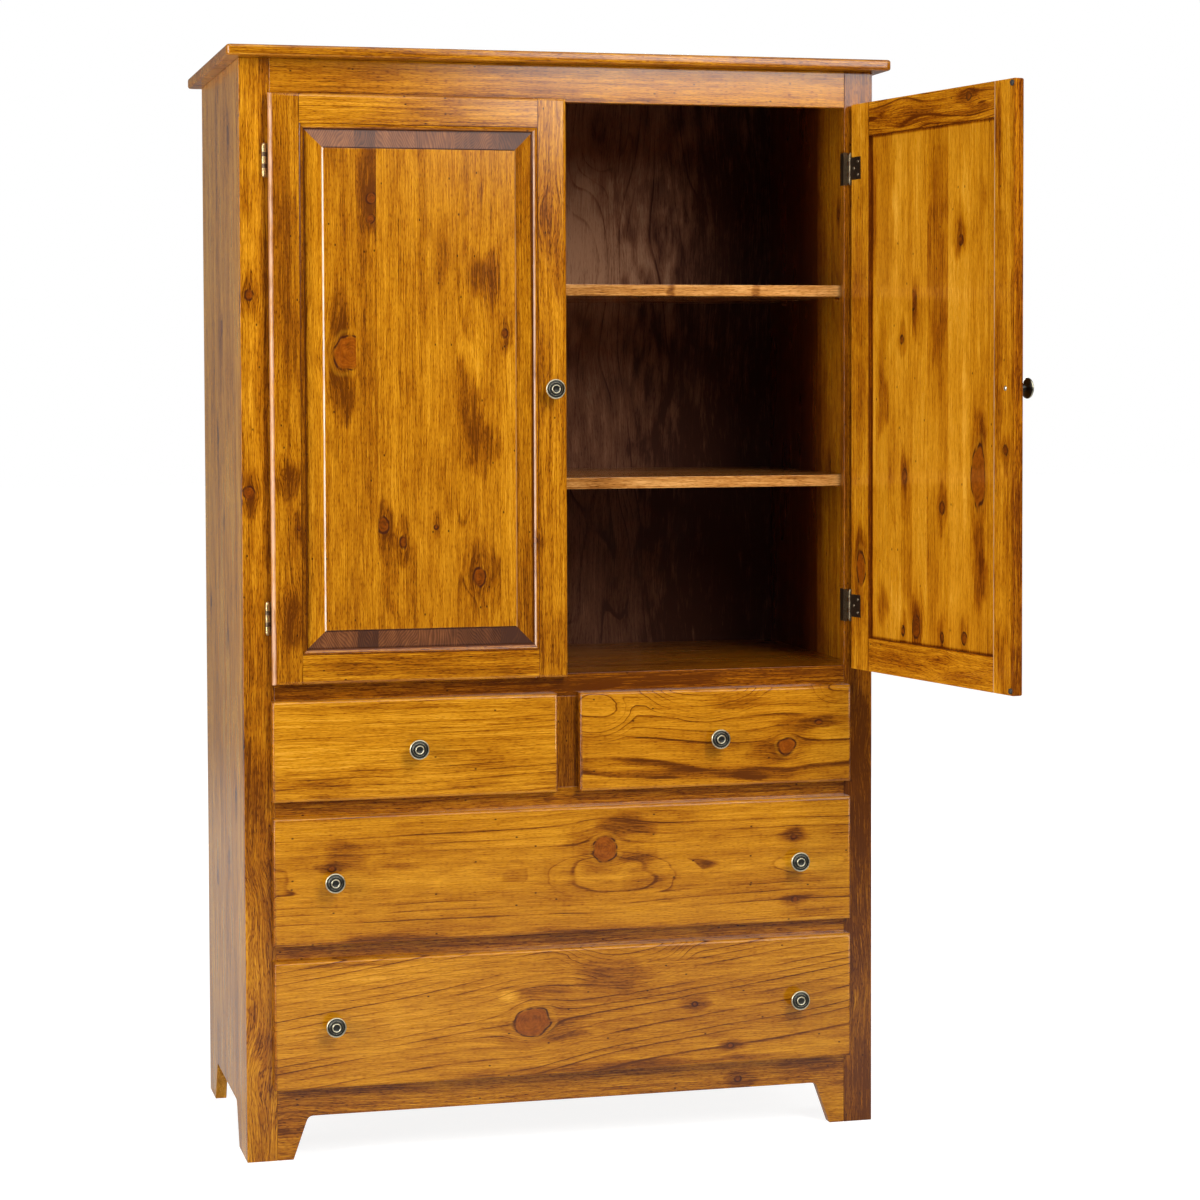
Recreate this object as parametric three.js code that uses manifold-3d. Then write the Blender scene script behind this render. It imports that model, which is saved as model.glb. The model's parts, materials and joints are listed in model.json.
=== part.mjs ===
// Tv armoire: a pine cabinet with two raised-panel doors above four drawers, on bracket feet.
// Lengths are in millimetres and +Z is up. In the cabinet's own frame X is 0 on the centre line,
// Y is 0 on the front of the face frame and grows towards the back, and Z is 0 on the floor.
// At the end the cabinet is moved so that the origin is on the floor below the middle of the
// whole object, which stands with its right door open.

import * as THREE from 'three';
import { mergeVertices } from 'three/addons/utils/BufferGeometryUtils.js';
import Module from 'manifold-3d';

// Clearances
const seam = 0.1; // between pieces that are glued or seated on each other
const slip = 0.3; // around pieces that turn, slide or float
const overrun = 5; // how far a cutting block reaches past the wood

// Carcass
const cabinet_width = 1080;
const cabinet_depth = 520;
const overall_height = 1820;
const side_thickness = 19;
const deck_thickness = 19;
const deck_shoulder = 6; // above the tongue at each end of the deck
const dado_depth = 6;
const back_thickness = 6;
const back_lap = 10; // how far the back laps onto each side
const back_bottom = 80; // lower edge of the back, above the floor

// Top board
const top_thickness = 18;
const top_side_overhang = 23;
const top_front_overhang = 35;
const top_back_overhang = 20;
const top_edge_radius = 4;
const top_corner_radius = 8;

// Face frame, with its openings, from the floor up
const frame_thickness = 19;
const stile_width = 50;
const muntin_width = 50;
const bottom_rail_height = 125;
const long_opening_height = 199;
const small_opening_height = 153;
const rail_height = 38;
const top_rail_height = 61.5;
const tenon_length = 24;
const tenon_thickness = 7;
const tenon_shoulder = 6;
const muntin_tenon_length = 16;

// Bracket feet
const foot_cut_height = 71;
const foot_corner_radius = 12;
const bracket_width = 26; // of the bottom rail's foot, on the floor
const bracket_slope = 25;
const side_front_foot = 105; // from the front of the face frame, on the floor
const side_back_foot = 80;
const side_foot_slope = 31;

// Shelves and the pins that carry them
const shelf_thickness = 19;
const shelf_side_gap = 1;
const shelf_front_gap = 3;
const shelf_back_gap = 2;
const lower_shelf_top = 1116;
const upper_shelf_top = 1440;
const shelf_pin_radius = 3;
const shelf_pin_length = 9;
const shelf_pin_inset = 95; // from the shelf's front and back edges

// Runner frames below the drawers
const runner_thickness = 19;
const runner_rail_width = 60;
const runner_side_width = 62;
const runner_middle_width = 112;
const guide_height = 14;

// Doors
const door_thickness = 19;
const door_overlay = 4.5;
const door_frame_gap = 3.2; // between the door's back and the face frame
const door_meeting_gap = 3;
const door_edge_radius = 6;
const door_member_width = 57;
const groove_depth = 10;
const groove_width = 6;
const groove_back_lip = 6;
const sticking_width = 8;
const sticking_step = 1.2;
const sticking_flat = 0.8;
const sticking_lip = 1.2; // straight part of the inner edge, in front of the groove
const panel_tongue = 8; // how far the panel reaches into the grooves
const panel_margin = 1.2; // flat strip between the sticking and the bevel
const panel_bevel_width = 28;
const panel_bevel_rise = 4.2;
const panel_field_step = 2.1;
const panel_field_chamfer = 1.8;
const left_door_angle = 0;
const right_door_angle = 101.5;

// Door hinges
const pin_edge_gap = 5.5; // from the pin's axis to the door's edge
const pin_frame_gap = 4.3; // from the pin's axis to the face frame
const pin_radius = 2;
const knuckle_radius = 4;
const end_knuckle_height = 10.5;
const middle_knuckle_height = 11;
const door_knuckle_height = 7.5;
const finial_radius = 3.2;
const finial_height = 4.5;
const hinge_plate = 1.2;
const frame_leaf_height = 55;
const frame_leaf_wrap = 17;
const door_leaf_height = 38;
const door_leaf_width = 30;
const hinge_inset = 108; // from the door's end to the middle of the hinge

// Bumpers and knobs
const bumper_radius = 5;
const bumper_inset = 7;
const knob_radius = 16.5;
const knob_height = 27.5;
const long_knob_inset = 98; // from the end of a long drawer front

// Drawers
const front_thickness = 19;
const front_overlay = 6;
const front_frame_gap = 1; // between a drawer front and the face frame
const front_edge_radius = 5;
const box_length = 470;
const box_side_clearance = 2;
const box_top_clearance = 13;
const box_wall = 12;
const box_bottom_thickness = 6;
const box_bottom_lift = 9;
const box_groove_depth = 6;

// Facets of the round shapes
const pin_steps = 16;
const knob_steps = 20;
const round_steps = 4;
const sticking_steps = 5;
const degree = Math.PI / 180;

// Heights and places that follow from the sizes
const half_width = cabinet_width / 2;
const inner_half_width = half_width - side_thickness;
const opening_half_width = half_width - stile_width;
const small_opening_width = opening_half_width - muntin_width / 2;
const top_underside = overall_height - top_thickness;
const carcass_top = top_underside - seam;
const board_front = frame_thickness + seam;
const back_front = cabinet_depth - back_thickness;
const board_back = back_front - seam;
const lower_rail_bottom = bottom_rail_height + long_opening_height;
const lower_rail_top = lower_rail_bottom + rail_height;
const upper_rail_bottom = lower_rail_top + long_opening_height;
const upper_rail_top = upper_rail_bottom + rail_height;
const door_rail_bottom = upper_rail_top + small_opening_height;
const deck_top = door_rail_bottom + rail_height;
const door_opening_top = top_underside - top_rail_height;
const deck_tongue = deck_thickness - deck_shoulder;
const shelf_front = frame_thickness + shelf_front_gap;
const shelf_back = back_front - shelf_back_gap;
const door_bottom = deck_top - door_overlay;
const door_height = door_opening_top + door_overlay - door_bottom;
const door_width = opening_half_width + door_overlay - door_meeting_gap / 2;
const pin_place = opening_half_width + door_overlay + pin_edge_gap;
const hinge_heights = [
  ['lower', door_bottom + hinge_inset],
  ['upper', door_bottom + door_height - hinge_inset],
];

// Finishes
const finish = (color, roughness, metalness) =>
  new THREE.MeshStandardMaterial({ color, roughness, metalness });
const pine = finish(0xb87420, 0.35, 0);
const shaded_pine = finish(0x9a6434, 0.35, 0);
const inside_pine = finish(0x5c3418, 0.5, 0);
const plywood = finish(0x4c2a16, 0.55, 0);
const drawer_wood = finish(0xd2ab72, 0.6, 0);
const antique_brass = finish(0x8a7648, 0.35, 1);
const bronze = finish(0x3a2c20, 0.45, 1);
const rubber = finish(0x1c1714, 0.7, 0);

const wasm = await Module();
wasm.setup();

// Shapes that the pieces are made from

function merged(geometry) {
  const plain = geometry.clone();
  plain.deleteAttribute('normal');
  plain.deleteAttribute('uv');
  return mergeVertices(plain);
}

function solid(geometry) {
  const closed = merged(geometry);
  return new wasm.Manifold(new wasm.Mesh({
    numProp: 3,
    vertProperties: new Float32Array(closed.attributes.position.array),
    triVerts: new Uint32Array(closed.index.array),
  }));
}

function surface(body) {
  const mesh = body.getMesh();
  const geometry = new THREE.BufferGeometry();
  const corners = new Float32Array(mesh.vertProperties);
  geometry.setAttribute('position', new THREE.BufferAttribute(corners, 3));
  geometry.setIndex(new THREE.BufferAttribute(new Uint32Array(mesh.triVerts), 1));
  return geometry;
}

// One solid: the first shape with some shapes joined to it and then others cut away.
function carved(base, joined, cut) {
  let body = solid(base);
  for (const shape of joined) body = body.add(solid(shape));
  for (const shape of cut) body = body.subtract(solid(shape));
  return surface(body);
}

function common(first, second) {
  return surface(solid(first).intersect(solid(second)));
}

// A box between a low and a high corner.
function block([x0, y0, z0], [x1, y1, z1]) {
  const box = new THREE.BoxGeometry(x1 - x0, y1 - y0, z1 - z0);
  return box.translate((x0 + x1) / 2, (y0 + y1) / 2, (z0 + z1) / 2);
}

// The same shape for the other hand, reflected in the plane X = 0.
function reflected(geometry) {
  const copy = merged(geometry).scale(-1, 1, 1);
  const order = copy.index.array;
  for (let i = 0; i < order.length; i += 3) {
    [order[i], order[i + 1]] = [order[i + 1], order[i]];
  }
  return copy;
}

// A closed outline through corners given as u, v and the radius of the corner's fillet.
function outline(corners) {
  const shape = new THREE.Shape();
  const count = corners.length;
  corners.forEach(([u, v, radius], i) => {
    const corner = new THREE.Vector2(u, v);
    if (!radius) {
      if (i === 0) shape.moveTo(u, v);
      else shape.lineTo(u, v);
      return;
    }
    const before = new THREE.Vector2(...corners[(i + count - 1) % count]).sub(corner).normalize();
    const after = new THREE.Vector2(...corners[(i + 1) % count]).sub(corner).normalize();
    const reach = radius / Math.tan(before.angleTo(after) / 2);
    const start = corner.clone().addScaledVector(before, reach);
    const end = corner.clone().addScaledVector(after, reach);
    shape.lineTo(start.x, start.y);
    shape.quadraticCurveTo(u, v, end.x, end.y);
  });
  return shape;
}

function swept(shape, length, basis) {
  const bar = new THREE.ExtrudeGeometry(shape, {
    depth: length,
    bevelEnabled: false,
    curveSegments: round_steps,
  });
  return bar.applyMatrix4(basis);
}

const axis_x = new THREE.Vector3(1, 0, 0);
const axis_y = new THREE.Vector3(0, 1, 0);
const axis_z = new THREE.Vector3(0, 0, 1);
const forward = axis_y.clone().negate();
const facing = new THREE.Matrix4().makeBasis(axis_x, axis_z, forward); // outline in X and Z, swept to the front
const sideways = new THREE.Matrix4().makeBasis(axis_y, axis_z, axis_x); // outline in Y and Z, swept along X
const upright = new THREE.Matrix4().makeBasis(axis_x, axis_y, axis_z); // outline in X and Y, swept up

// A standing board with its back on Y = 0, its lower corner on X = 0 and Z = 0, and rounded front edges.
function eased_board(width, height, thickness, radius) {
  const shape = outline([
    [radius, radius],
    [width - radius, radius],
    [width - radius, height - radius],
    [radius, height - radius],
  ]);
  const rounded = new THREE.ExtrudeGeometry(shape, {
    depth: thickness - radius,
    bevelEnabled: true,
    bevelSize: radius,
    bevelThickness: radius,
    bevelSegments: round_steps,
  });
  const kept = block(
    [-overrun, -thickness - overrun, -overrun],
    [width + overrun, 0, height + overrun],
  );
  return common(rounded.applyMatrix4(facing), kept);
}

// A slab lofted through rectangles, each given by its inset and its distance in front of Y = 0.
function lofted_slab(width, height, rings) {
  const corners = [];
  for (const [inset, rise] of rings) {
    corners.push(inset, -rise, inset);
    corners.push(width - inset, -rise, inset);
    corners.push(width - inset, -rise, height - inset);
    corners.push(inset, -rise, height - inset);
  }
  const faces = [0, 2, 1, 0, 3, 2];
  for (let low = 0; low + 4 < corners.length / 3; low += 4) {
    for (let i = 0; i < 4; i += 1) {
      const j = (i + 1) % 4;
      faces.push(low + i, low + j, low + 4 + j);
      faces.push(low + i, low + 4 + j, low + 4 + i);
    }
  }
  const last = corners.length / 3 - 4;
  faces.push(last, last + 1, last + 2, last, last + 2, last + 3);
  const geometry = new THREE.BufferGeometry();
  geometry.setAttribute('position', new THREE.Float32BufferAttribute(corners, 3));
  geometry.setIndex(faces);
  return geometry;
}

// A solid or ring turned about Z, from points given as radius and height.
function turned(points, steps) {
  const profile = points.map(([radius, height]) => new THREE.Vector2(radius, height));
  return new THREE.LatheGeometry(profile, steps).rotateX(Math.PI / 2);
}

function rod(radius, bottom, top) {
  return turned([[0, bottom], [radius, bottom], [radius, top], [0, top]], pin_steps);
}

// Placing: every piece hangs in a group, at a place of its own

const cabinet = new THREE.Group();

function place(group, name, geometry, material, x, y, z) {
  const mesh = new THREE.Mesh(geometry, material);
  mesh.name = name;
  mesh.position.set(x, y, z);
  group.add(mesh);
  return mesh;
}

// Top board, with rounded edges and corners

function top_board() {
  const width = cabinet_width + 2 * top_side_overhang;
  const depth = cabinet_depth + top_front_overhang + top_back_overhang;
  const inset = top_edge_radius;
  const radius = top_corner_radius - inset;
  const shape = new THREE.Shape();
  shape.absarc(width - inset - radius, depth - inset - radius, radius, 0, Math.PI / 2);
  shape.absarc(inset + radius, depth - inset - radius, radius, Math.PI / 2, Math.PI);
  shape.absarc(inset + radius, inset + radius, radius, Math.PI, 3 * Math.PI / 2);
  shape.absarc(width - inset - radius, inset + radius, radius, 3 * Math.PI / 2, 2 * Math.PI);
  const board = new THREE.ExtrudeGeometry(shape, {
    depth: top_thickness - 2 * inset,
    bevelEnabled: true,
    bevelSize: inset,
    bevelThickness: inset,
    bevelSegments: round_steps - 1,
    curveSegments: round_steps,
  });
  return merged(board.translate(0, 0, inset));
}

place(cabinet, 'top_board', top_board(), pine,
  -half_width - top_side_overhang, -top_front_overhang, top_underside);

// Face frame: rails and a muntin tenoned into two full-height stiles

const rails = [
  ['bottom_rail', foot_cut_height, bottom_rail_height],
  ['lower_drawer_rail', lower_rail_bottom, lower_rail_top],
  ['upper_drawer_rail', upper_rail_bottom, upper_rail_top],
  ['door_rail', door_rail_bottom, deck_top],
  ['top_rail', door_opening_top, carcass_top],
];
const tenon_front = (frame_thickness - tenon_thickness) / 2;
const tenon_back = tenon_front + tenon_thickness;
const rail_end = opening_half_width - seam;

// The tenon of a rail between two heights, grown on its sides where it is the mortise's cutting block.
function tenon(x0, x1, bottom, top, grow) {
  return block(
    [x0, tenon_front - grow, bottom + tenon_shoulder - grow],
    [x1, tenon_back + grow, top - tenon_shoulder + grow],
  );
}

function left_stile() {
  const mortises = rails.map(([, bottom, top]) => tenon(
    stile_width - tenon_length - seam, stile_width + overrun, bottom, top, seam,
  ));
  return carved(block([0, 0, 0], [stile_width, frame_thickness, carcass_top]), [], mortises);
}

const rail_reach = opening_half_width + tenon_length - seam;
const muntin_tenon_half = muntin_width / 2 - tenon_shoulder;

// The mortise for the muntin, in a rail's top or bottom edge.
function muntin_mortise(bottom, top) {
  return block(
    [-muntin_tenon_half - seam, tenon_front - seam, bottom],
    [muntin_tenon_half + seam, tenon_back + seam, top],
  );
}

function rail(height, cuts) {
  const board = block([-rail_end, 0, 0], [rail_end, frame_thickness, height]);
  return carved(board, [tenon(-rail_reach, rail_reach, 0, height, 0)], cuts);
}

function bottom_rail() {
  const foot_end = rail_end - bracket_width;
  const slope_end = foot_end - bracket_slope;
  const shape = outline([
    [-rail_end, 0],
    [-foot_end, 0],
    [-slope_end, foot_cut_height, foot_corner_radius],
    [slope_end, foot_cut_height, foot_corner_radius],
    [foot_end, 0],
    [rail_end, 0],
    [rail_end, bottom_rail_height],
    [-rail_end, bottom_rail_height],
  ]);
  const board = swept(shape, frame_thickness, facing).translate(0, frame_thickness, 0);
  const tongue = tenon(-rail_reach, rail_reach, foot_cut_height, bottom_rail_height, 0);
  return carved(board, [tongue], []);
}

function centre_muntin() {
  const half = muntin_width / 2;
  const height = small_opening_height;
  const tongue = block(
    [-muntin_tenon_half, tenon_front, -muntin_tenon_length + seam],
    [muntin_tenon_half, tenon_back, height + muntin_tenon_length - seam],
  );
  return carved(block([-half, 0, seam], [half, frame_thickness, height - seam]), [tongue], []);
}

place(cabinet, 'left_stile', left_stile(), pine, -half_width, 0, 0);
place(cabinet, 'right_stile', reflected(left_stile()), pine, half_width, 0, 0);
place(cabinet, 'bottom_rail', bottom_rail(), pine, 0, 0, 0);
place(cabinet, 'lower_drawer_rail', rail(rail_height, []), pine, 0, 0, lower_rail_bottom);
place(cabinet, 'upper_drawer_rail', rail(rail_height, [
  muntin_mortise(rail_height - muntin_tenon_length, rail_height + overrun),
]), pine, 0, 0, upper_rail_bottom);
place(cabinet, 'door_rail', rail(rail_height, [
  muntin_mortise(-overrun, muntin_tenon_length),
]), pine, 0, 0, door_rail_bottom);
place(cabinet, 'top_rail', rail(carcass_top - door_opening_top, []), pine, 0, 0, door_opening_top);
place(cabinet, 'centre_muntin', centre_muntin(), pine, 0, 0, upper_rail_top);

// Side panels: feet, dados for the deck and the runner frames, a rabbet for the back, shelf pins

const runner_tops = [bottom_rail_height, lower_rail_top, upper_rail_top];
const shelf_tops = [lower_shelf_top, upper_shelf_top];

function dado(top, thickness) {
  return block(
    [side_thickness - dado_depth, board_front - overrun, top - thickness - seam],
    [side_thickness + overrun, back_front + overrun, top + seam],
  );
}

function shelf_pin(y, shelf_top) {
  const pin = rod(shelf_pin_radius, 0, side_thickness / 2 + shelf_pin_length);
  const z = shelf_top - shelf_thickness - seam - shelf_pin_radius;
  return pin.rotateY(Math.PI / 2).translate(side_thickness / 2, y, z);
}

function left_side() {
  const foot_back = cabinet_depth - side_back_foot;
  const shape = outline([
    [board_front, 0],
    [side_front_foot, 0],
    [side_front_foot + side_foot_slope, foot_cut_height, foot_corner_radius],
    [foot_back - side_foot_slope, foot_cut_height, foot_corner_radius],
    [foot_back, 0],
    [cabinet_depth, 0],
    [cabinet_depth, carcass_top],
    [board_front, carcass_top],
  ]);
  const rabbet = block(
    [side_thickness - back_lap, back_front, back_bottom],
    [side_thickness + overrun, cabinet_depth + overrun, carcass_top + overrun],
  );
  const dados = runner_tops.map((top) => dado(top, runner_thickness));
  dados.push(dado(deck_top - deck_shoulder, deck_tongue));
  const pins = shelf_tops.flatMap((top) => [
    shelf_pin(shelf_front + shelf_pin_inset, top),
    shelf_pin(shelf_back - shelf_pin_inset, top),
  ]);
  return carved(swept(shape, side_thickness, sideways), pins, [rabbet, ...dados]);
}

place(cabinet, 'left_side', left_side(), shaded_pine, -half_width, 0, 0);
place(cabinet, 'right_side', reflected(left_side()), shaded_pine, half_width, 0, 0);

// Back, deck and shelves

const back_half = inner_half_width + back_lap - seam;
place(cabinet, 'back_panel', block(
  [-back_half, seam, seam],
  [back_half, back_thickness, carcass_top - back_bottom],
), plywood, 0, back_front, back_bottom);

const housed_half = inner_half_width + dado_depth - seam;
const fitted_half = inner_half_width - seam;
place(cabinet, 'cabinet_deck', carved(
  block([-fitted_half, board_front, 0], [fitted_half, board_back, deck_thickness]),
  [block([-housed_half, board_front, 0], [housed_half, board_back, deck_tongue])],
  [],
), inside_pine, 0, 0, deck_top - deck_thickness);

const shelf_half = inner_half_width - shelf_side_gap;
for (const [name, top] of [['lower_shelf', lower_shelf_top], ['upper_shelf', upper_shelf_top]]) {
  place(cabinet, name, block(
    [-shelf_half, shelf_front, 0],
    [shelf_half, shelf_back, shelf_thickness],
  ), inside_pine, 0, 0, top - shelf_thickness);
}

// Runner frames: rails and runners below each row of drawers, with guides that stand on them

function runner_frame(bays) {
  const frame = block([-housed_half, board_front, 0], [housed_half, board_back, runner_thickness]);
  const guide_top = runner_thickness + guide_height;
  const guides = [
    block([-fitted_half, board_front, 0], [-opening_half_width, board_back, guide_top]),
    block([opening_half_width, board_front, 0], [fitted_half, board_back, guide_top]),
  ];
  if (bays > 1) {
    guides.push(block(
      [-muntin_width / 2, board_front, 0],
      [muntin_width / 2, board_back, guide_top],
    ));
  }
  const inner = housed_half - runner_side_width;
  const middle = bays > 1 ? runner_middle_width / 2 : 0;
  const spans = bays > 1 ? [[-inner, -middle], [middle, inner]] : [[-inner, inner]];
  const holes = spans.map(([x0, x1]) => block(
    [x0, board_front + runner_rail_width, -overrun],
    [x1, board_back - runner_rail_width, runner_thickness + overrun],
  ));
  return carved(frame, guides, holes);
}

place(cabinet, 'small_drawer_runner_frame', runner_frame(2), drawer_wood,
  0, 0, upper_rail_top - runner_thickness);
place(cabinet, 'upper_long_drawer_runner_frame', runner_frame(1), drawer_wood,
  0, 0, lower_rail_top - runner_thickness);
place(cabinet, 'lower_long_drawer_runner_frame', runner_frame(1), drawer_wood,
  0, 0, bottom_rail_height - runner_thickness);

// Knobs and bumpers

// A knob with a foot, a waist, a beaded rim, a ring and a button, standing in front of Y = 0.
function knob() {
  const profile_shares = [
    [0, 0], [0.5, 0], [0.5, 0.06], [0.36, 0.13], [0.32, 0.3], [0.4, 0.5], [0.68, 0.66],
    [0.95, 0.74], [1, 0.81], [0.98, 0.88], [0.91, 0.9], [0.84, 0.85], [0.72, 0.9],
    [0.56, 0.87], [0.49, 0.96], [0.41, 0.99], [0.34, 0.95], [0, 1],
  ];
  const points = profile_shares.map(([across, along]) => [across * knob_radius, along * knob_height]);
  return turned(points, knob_steps).rotateX(Math.PI / 2);
}

// A rubber button on the door's back, which takes up the gap to the face frame.
function bumper() {
  const height = door_frame_gap - 2 * seam;
  const profile_shares = [[0, 0], [1, 0], [0.94, 0.55], [0.64, 0.9], [0, 1]];
  const points = profile_shares.map(([across, along]) => [across * bumper_radius, along * height]);
  return turned(points, pin_steps).rotateX(-Math.PI / 2);
}

// Hinges: knuckles on a fixed pin, one leaf round the stile's inner edge and one on the door's back.
// Their frame has Z on the pin's axis, 0 at the middle, X towards the door and Y to the back.

const hinge_half = middle_knuckle_height / 2 + door_knuckle_height + end_knuckle_height;
const middle_half = middle_knuckle_height / 2;
const frame_knuckles = [
  [-hinge_half, -hinge_half + end_knuckle_height],
  [-middle_half, middle_half],
  [hinge_half - end_knuckle_height, hinge_half],
];
const door_knuckles = [
  [-middle_half - door_knuckle_height + slip, -middle_half - slip],
  [middle_half + slip, middle_half + door_knuckle_height - slip],
];
const leaf_start = knuckle_radius + slip + slip;

// The fixed pin, with a button at each end.
function hinge_pin() {
  const button_shares = [[1, 0], [1, 0.5], [0.7, 0.85], [0, 1]];
  const upper = [[pin_radius, hinge_half - slip], [finial_radius, hinge_half - slip]];
  for (const [across, along] of button_shares) {
    upper.push([across * finial_radius, hinge_half + along * finial_height]);
  }
  const lower = upper.map(([radius, height]) => [radius, -height]).reverse();
  return turned([...lower, ...upper], pin_steps);
}

function frame_leaf() {
  const face = pin_frame_gap - seam;
  const arris = door_overlay + pin_edge_gap + seam;
  const half = frame_leaf_height / 2;
  const plate = block([leaf_start, face - hinge_plate, -half], [arris + hinge_plate, face, half]);
  const wrap = block(
    [arris, face - hinge_plate, -half],
    [arris + hinge_plate, pin_frame_gap + frame_leaf_wrap, half],
  );
  const knuckles = frame_knuckles.map(([low, high]) => rod(knuckle_radius, low, high));
  const straps = frame_knuckles.map(([low, high]) => block(
    [0, face - hinge_plate, low],
    [leaf_start + hinge_plate, face, high],
  ));
  return carved(plate, [wrap, hinge_pin(), ...knuckles, ...straps], []);
}

function door_leaf() {
  const face = pin_frame_gap - door_frame_gap + seam;
  const half = door_leaf_height / 2;
  const bore = pin_radius + slip;
  const plate = block(
    [leaf_start, face, -half],
    [pin_edge_gap + door_leaf_width, face + hinge_plate, half],
  );
  const knuckles = door_knuckles.map(([low, high]) => turned([
    [bore, low], [knuckle_radius, low], [knuckle_radius, high], [bore, high], [bore, low],
  ], pin_steps));
  const straps = door_knuckles.map(([low, high]) => block(
    [(bore + knuckle_radius) / 2, face, low],
    [leaf_start + hinge_plate, face + hinge_plate, high],
  ));
  return carved(plate, [...knuckles, ...straps], []);
}

// Doors: coped rails between grooved stiles, round a raised panel

// The section of a stile or rail, as distances from its outer edge and from the door's back.
// Grown and with its back and front let out, it is the block that copes the end of a rail.
function member_section(grow, reach) {
  const inner = door_member_width + grow;
  const groove_bottom = door_member_width - groove_depth + grow;
  const groove_front = groove_back_lip + groove_width;
  const round_width = sticking_width - sticking_flat;
  const round_base = groove_front + sticking_lip;
  const round_top = door_thickness - sticking_step;
  const step = door_member_width - sticking_width + grow;
  const section = [
    [-reach, -reach],
    [inner, -reach],
    [inner, groove_back_lip + grow],
    [groove_bottom, groove_back_lip + grow],
    [groove_bottom, groove_front - grow],
    [inner, groove_front - grow],
  ];
  for (let i = 0; i <= sticking_steps; i += 1) {
    const turn = (i / sticking_steps) * Math.PI / 2;
    section.push([
      door_member_width - round_width + (round_width + grow) * Math.cos(turn),
      round_base + (round_top - round_base + grow) * Math.sin(turn),
    ]);
  }
  section.push([step, round_top + grow]);
  section.push([step, door_thickness + reach]);
  section.push([-reach, door_thickness + reach]);
  return section;
}

const door_blank = eased_board(door_width, door_height, door_thickness, door_edge_radius);

function grooved_stile() {
  const section = member_section(0, 0).map(([u, v]) => [u, -v]);
  return common(swept(outline(section), door_height, upright), door_blank);
}

function coped_rail() {
  const section = member_section(0, 0).map(([u, v]) => [-v, u]);
  const start = door_member_width - groove_depth + slip;
  const bar = swept(outline(section), door_width - 2 * start, sideways).translate(start, 0, 0);
  const cope = outline(member_section(seam, overrun).map(([u, v]) => [u, -v]));
  const near = swept(cope, door_member_width + 2 * overrun, upright).translate(0, 0, -overrun);
  const far = reflected(near).translate(door_width, 0, 0);
  return common(carved(bar, [], [near, far]), door_blank);
}

function raised_panel() {
  const inset = door_member_width - panel_tongue;
  const back = groove_back_lip + slip;
  const tongue = groove_back_lip + groove_width - slip;
  const bevel_start = panel_tongue + panel_margin;
  const bevel_end = bevel_start + panel_bevel_width;
  const bevel_top = tongue + panel_bevel_rise;
  return lofted_slab(door_width - 2 * inset, door_height - 2 * inset, [
    [0, back],
    [0, tongue],
    [bevel_start, tongue],
    [bevel_end, bevel_top],
    [bevel_end, bevel_top + panel_field_step - panel_field_chamfer],
    [bevel_end + panel_field_chamfer, bevel_top + panel_field_step],
  ]);
}

// A door hangs in a group on its pin's axis. The hand is 1 where the door reaches towards +X.
function build_door(side, hand, angle) {
  const handed = (geometry) => (hand > 0 ? geometry : reflected(geometry));
  const swing = new THREE.Group();
  swing.position.set(-hand * pin_place, -pin_frame_gap, 0);
  swing.rotation.z = -hand * angle * degree;
  cabinet.add(swing);

  const leaf = new THREE.Group();
  leaf.position.set(hand * pin_edge_gap, pin_frame_gap - door_frame_gap, door_bottom);
  swing.add(leaf);
  const name = `${side}_door`;
  const far = hand * door_width;
  place(leaf, `${name}_hinge_stile`, handed(grooved_stile()), pine, 0, 0, 0);
  place(leaf, `${name}_meeting_stile`, handed(grooved_stile()), pine, far, 0, door_height).rotation.y = Math.PI;
  place(leaf, `${name}_bottom_rail`, handed(coped_rail()), pine, 0, 0, 0);
  place(leaf, `${name}_top_rail`, handed(coped_rail()), pine, far, 0, door_height).rotation.y = Math.PI;
  const inset = door_member_width - panel_tongue;
  place(leaf, `${name}_raised_panel`, handed(raised_panel()), pine, hand * inset, 0, inset);

  const knob_inset = (door_member_width - sticking_width) / 2;
  place(leaf, `${name}_knob`, knob(), antique_brass,
    far - hand * knob_inset, -door_thickness - seam, door_height / 2);
  for (const [level, z] of [['lower', bumper_inset], ['upper', door_height - bumper_inset]]) {
    place(leaf, `${name}_${level}_bumper`, bumper(), rubber, far - hand * bumper_inset, seam, z);
  }
  for (const [level, z] of hinge_heights) {
    place(swing, `${side}_${level}_hinge_door_leaf`, handed(door_leaf()), bronze, 0, 0, z);
    place(cabinet, `${side}_${level}_hinge_frame_leaf`, handed(frame_leaf()), antique_brass,
      -hand * pin_place, -pin_frame_gap, z);
  }
}

build_door('left', 1, left_door_angle);
build_door('right', -1, right_door_angle);

// Drawers: an overlay front on a four-sided box, with the bottom in a groove

function drawer_box(width, height) {
  const half = width / 2;
  const inner = half - box_wall;
  const outer = block([-half, 0, 0], [half, box_length, height]);
  const hollow = block(
    [-inner, box_wall, -overrun],
    [inner, box_length - box_wall, height + overrun],
  );
  const groove = block(
    [-inner - box_groove_depth, box_wall - box_groove_depth, box_bottom_lift],
    [inner + box_groove_depth, box_length - box_wall + box_groove_depth,
      box_bottom_lift + box_bottom_thickness + seam + seam],
  );
  return carved(outer, [], [hollow, groove]);
}

function drawer_bottom(width) {
  const half = width / 2 - box_wall + box_groove_depth - slip;
  const front = box_wall - box_groove_depth + slip;
  const low = box_bottom_lift + seam;
  return block([-half, front, low], [half, box_length - front, low + box_bottom_thickness]);
}

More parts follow.
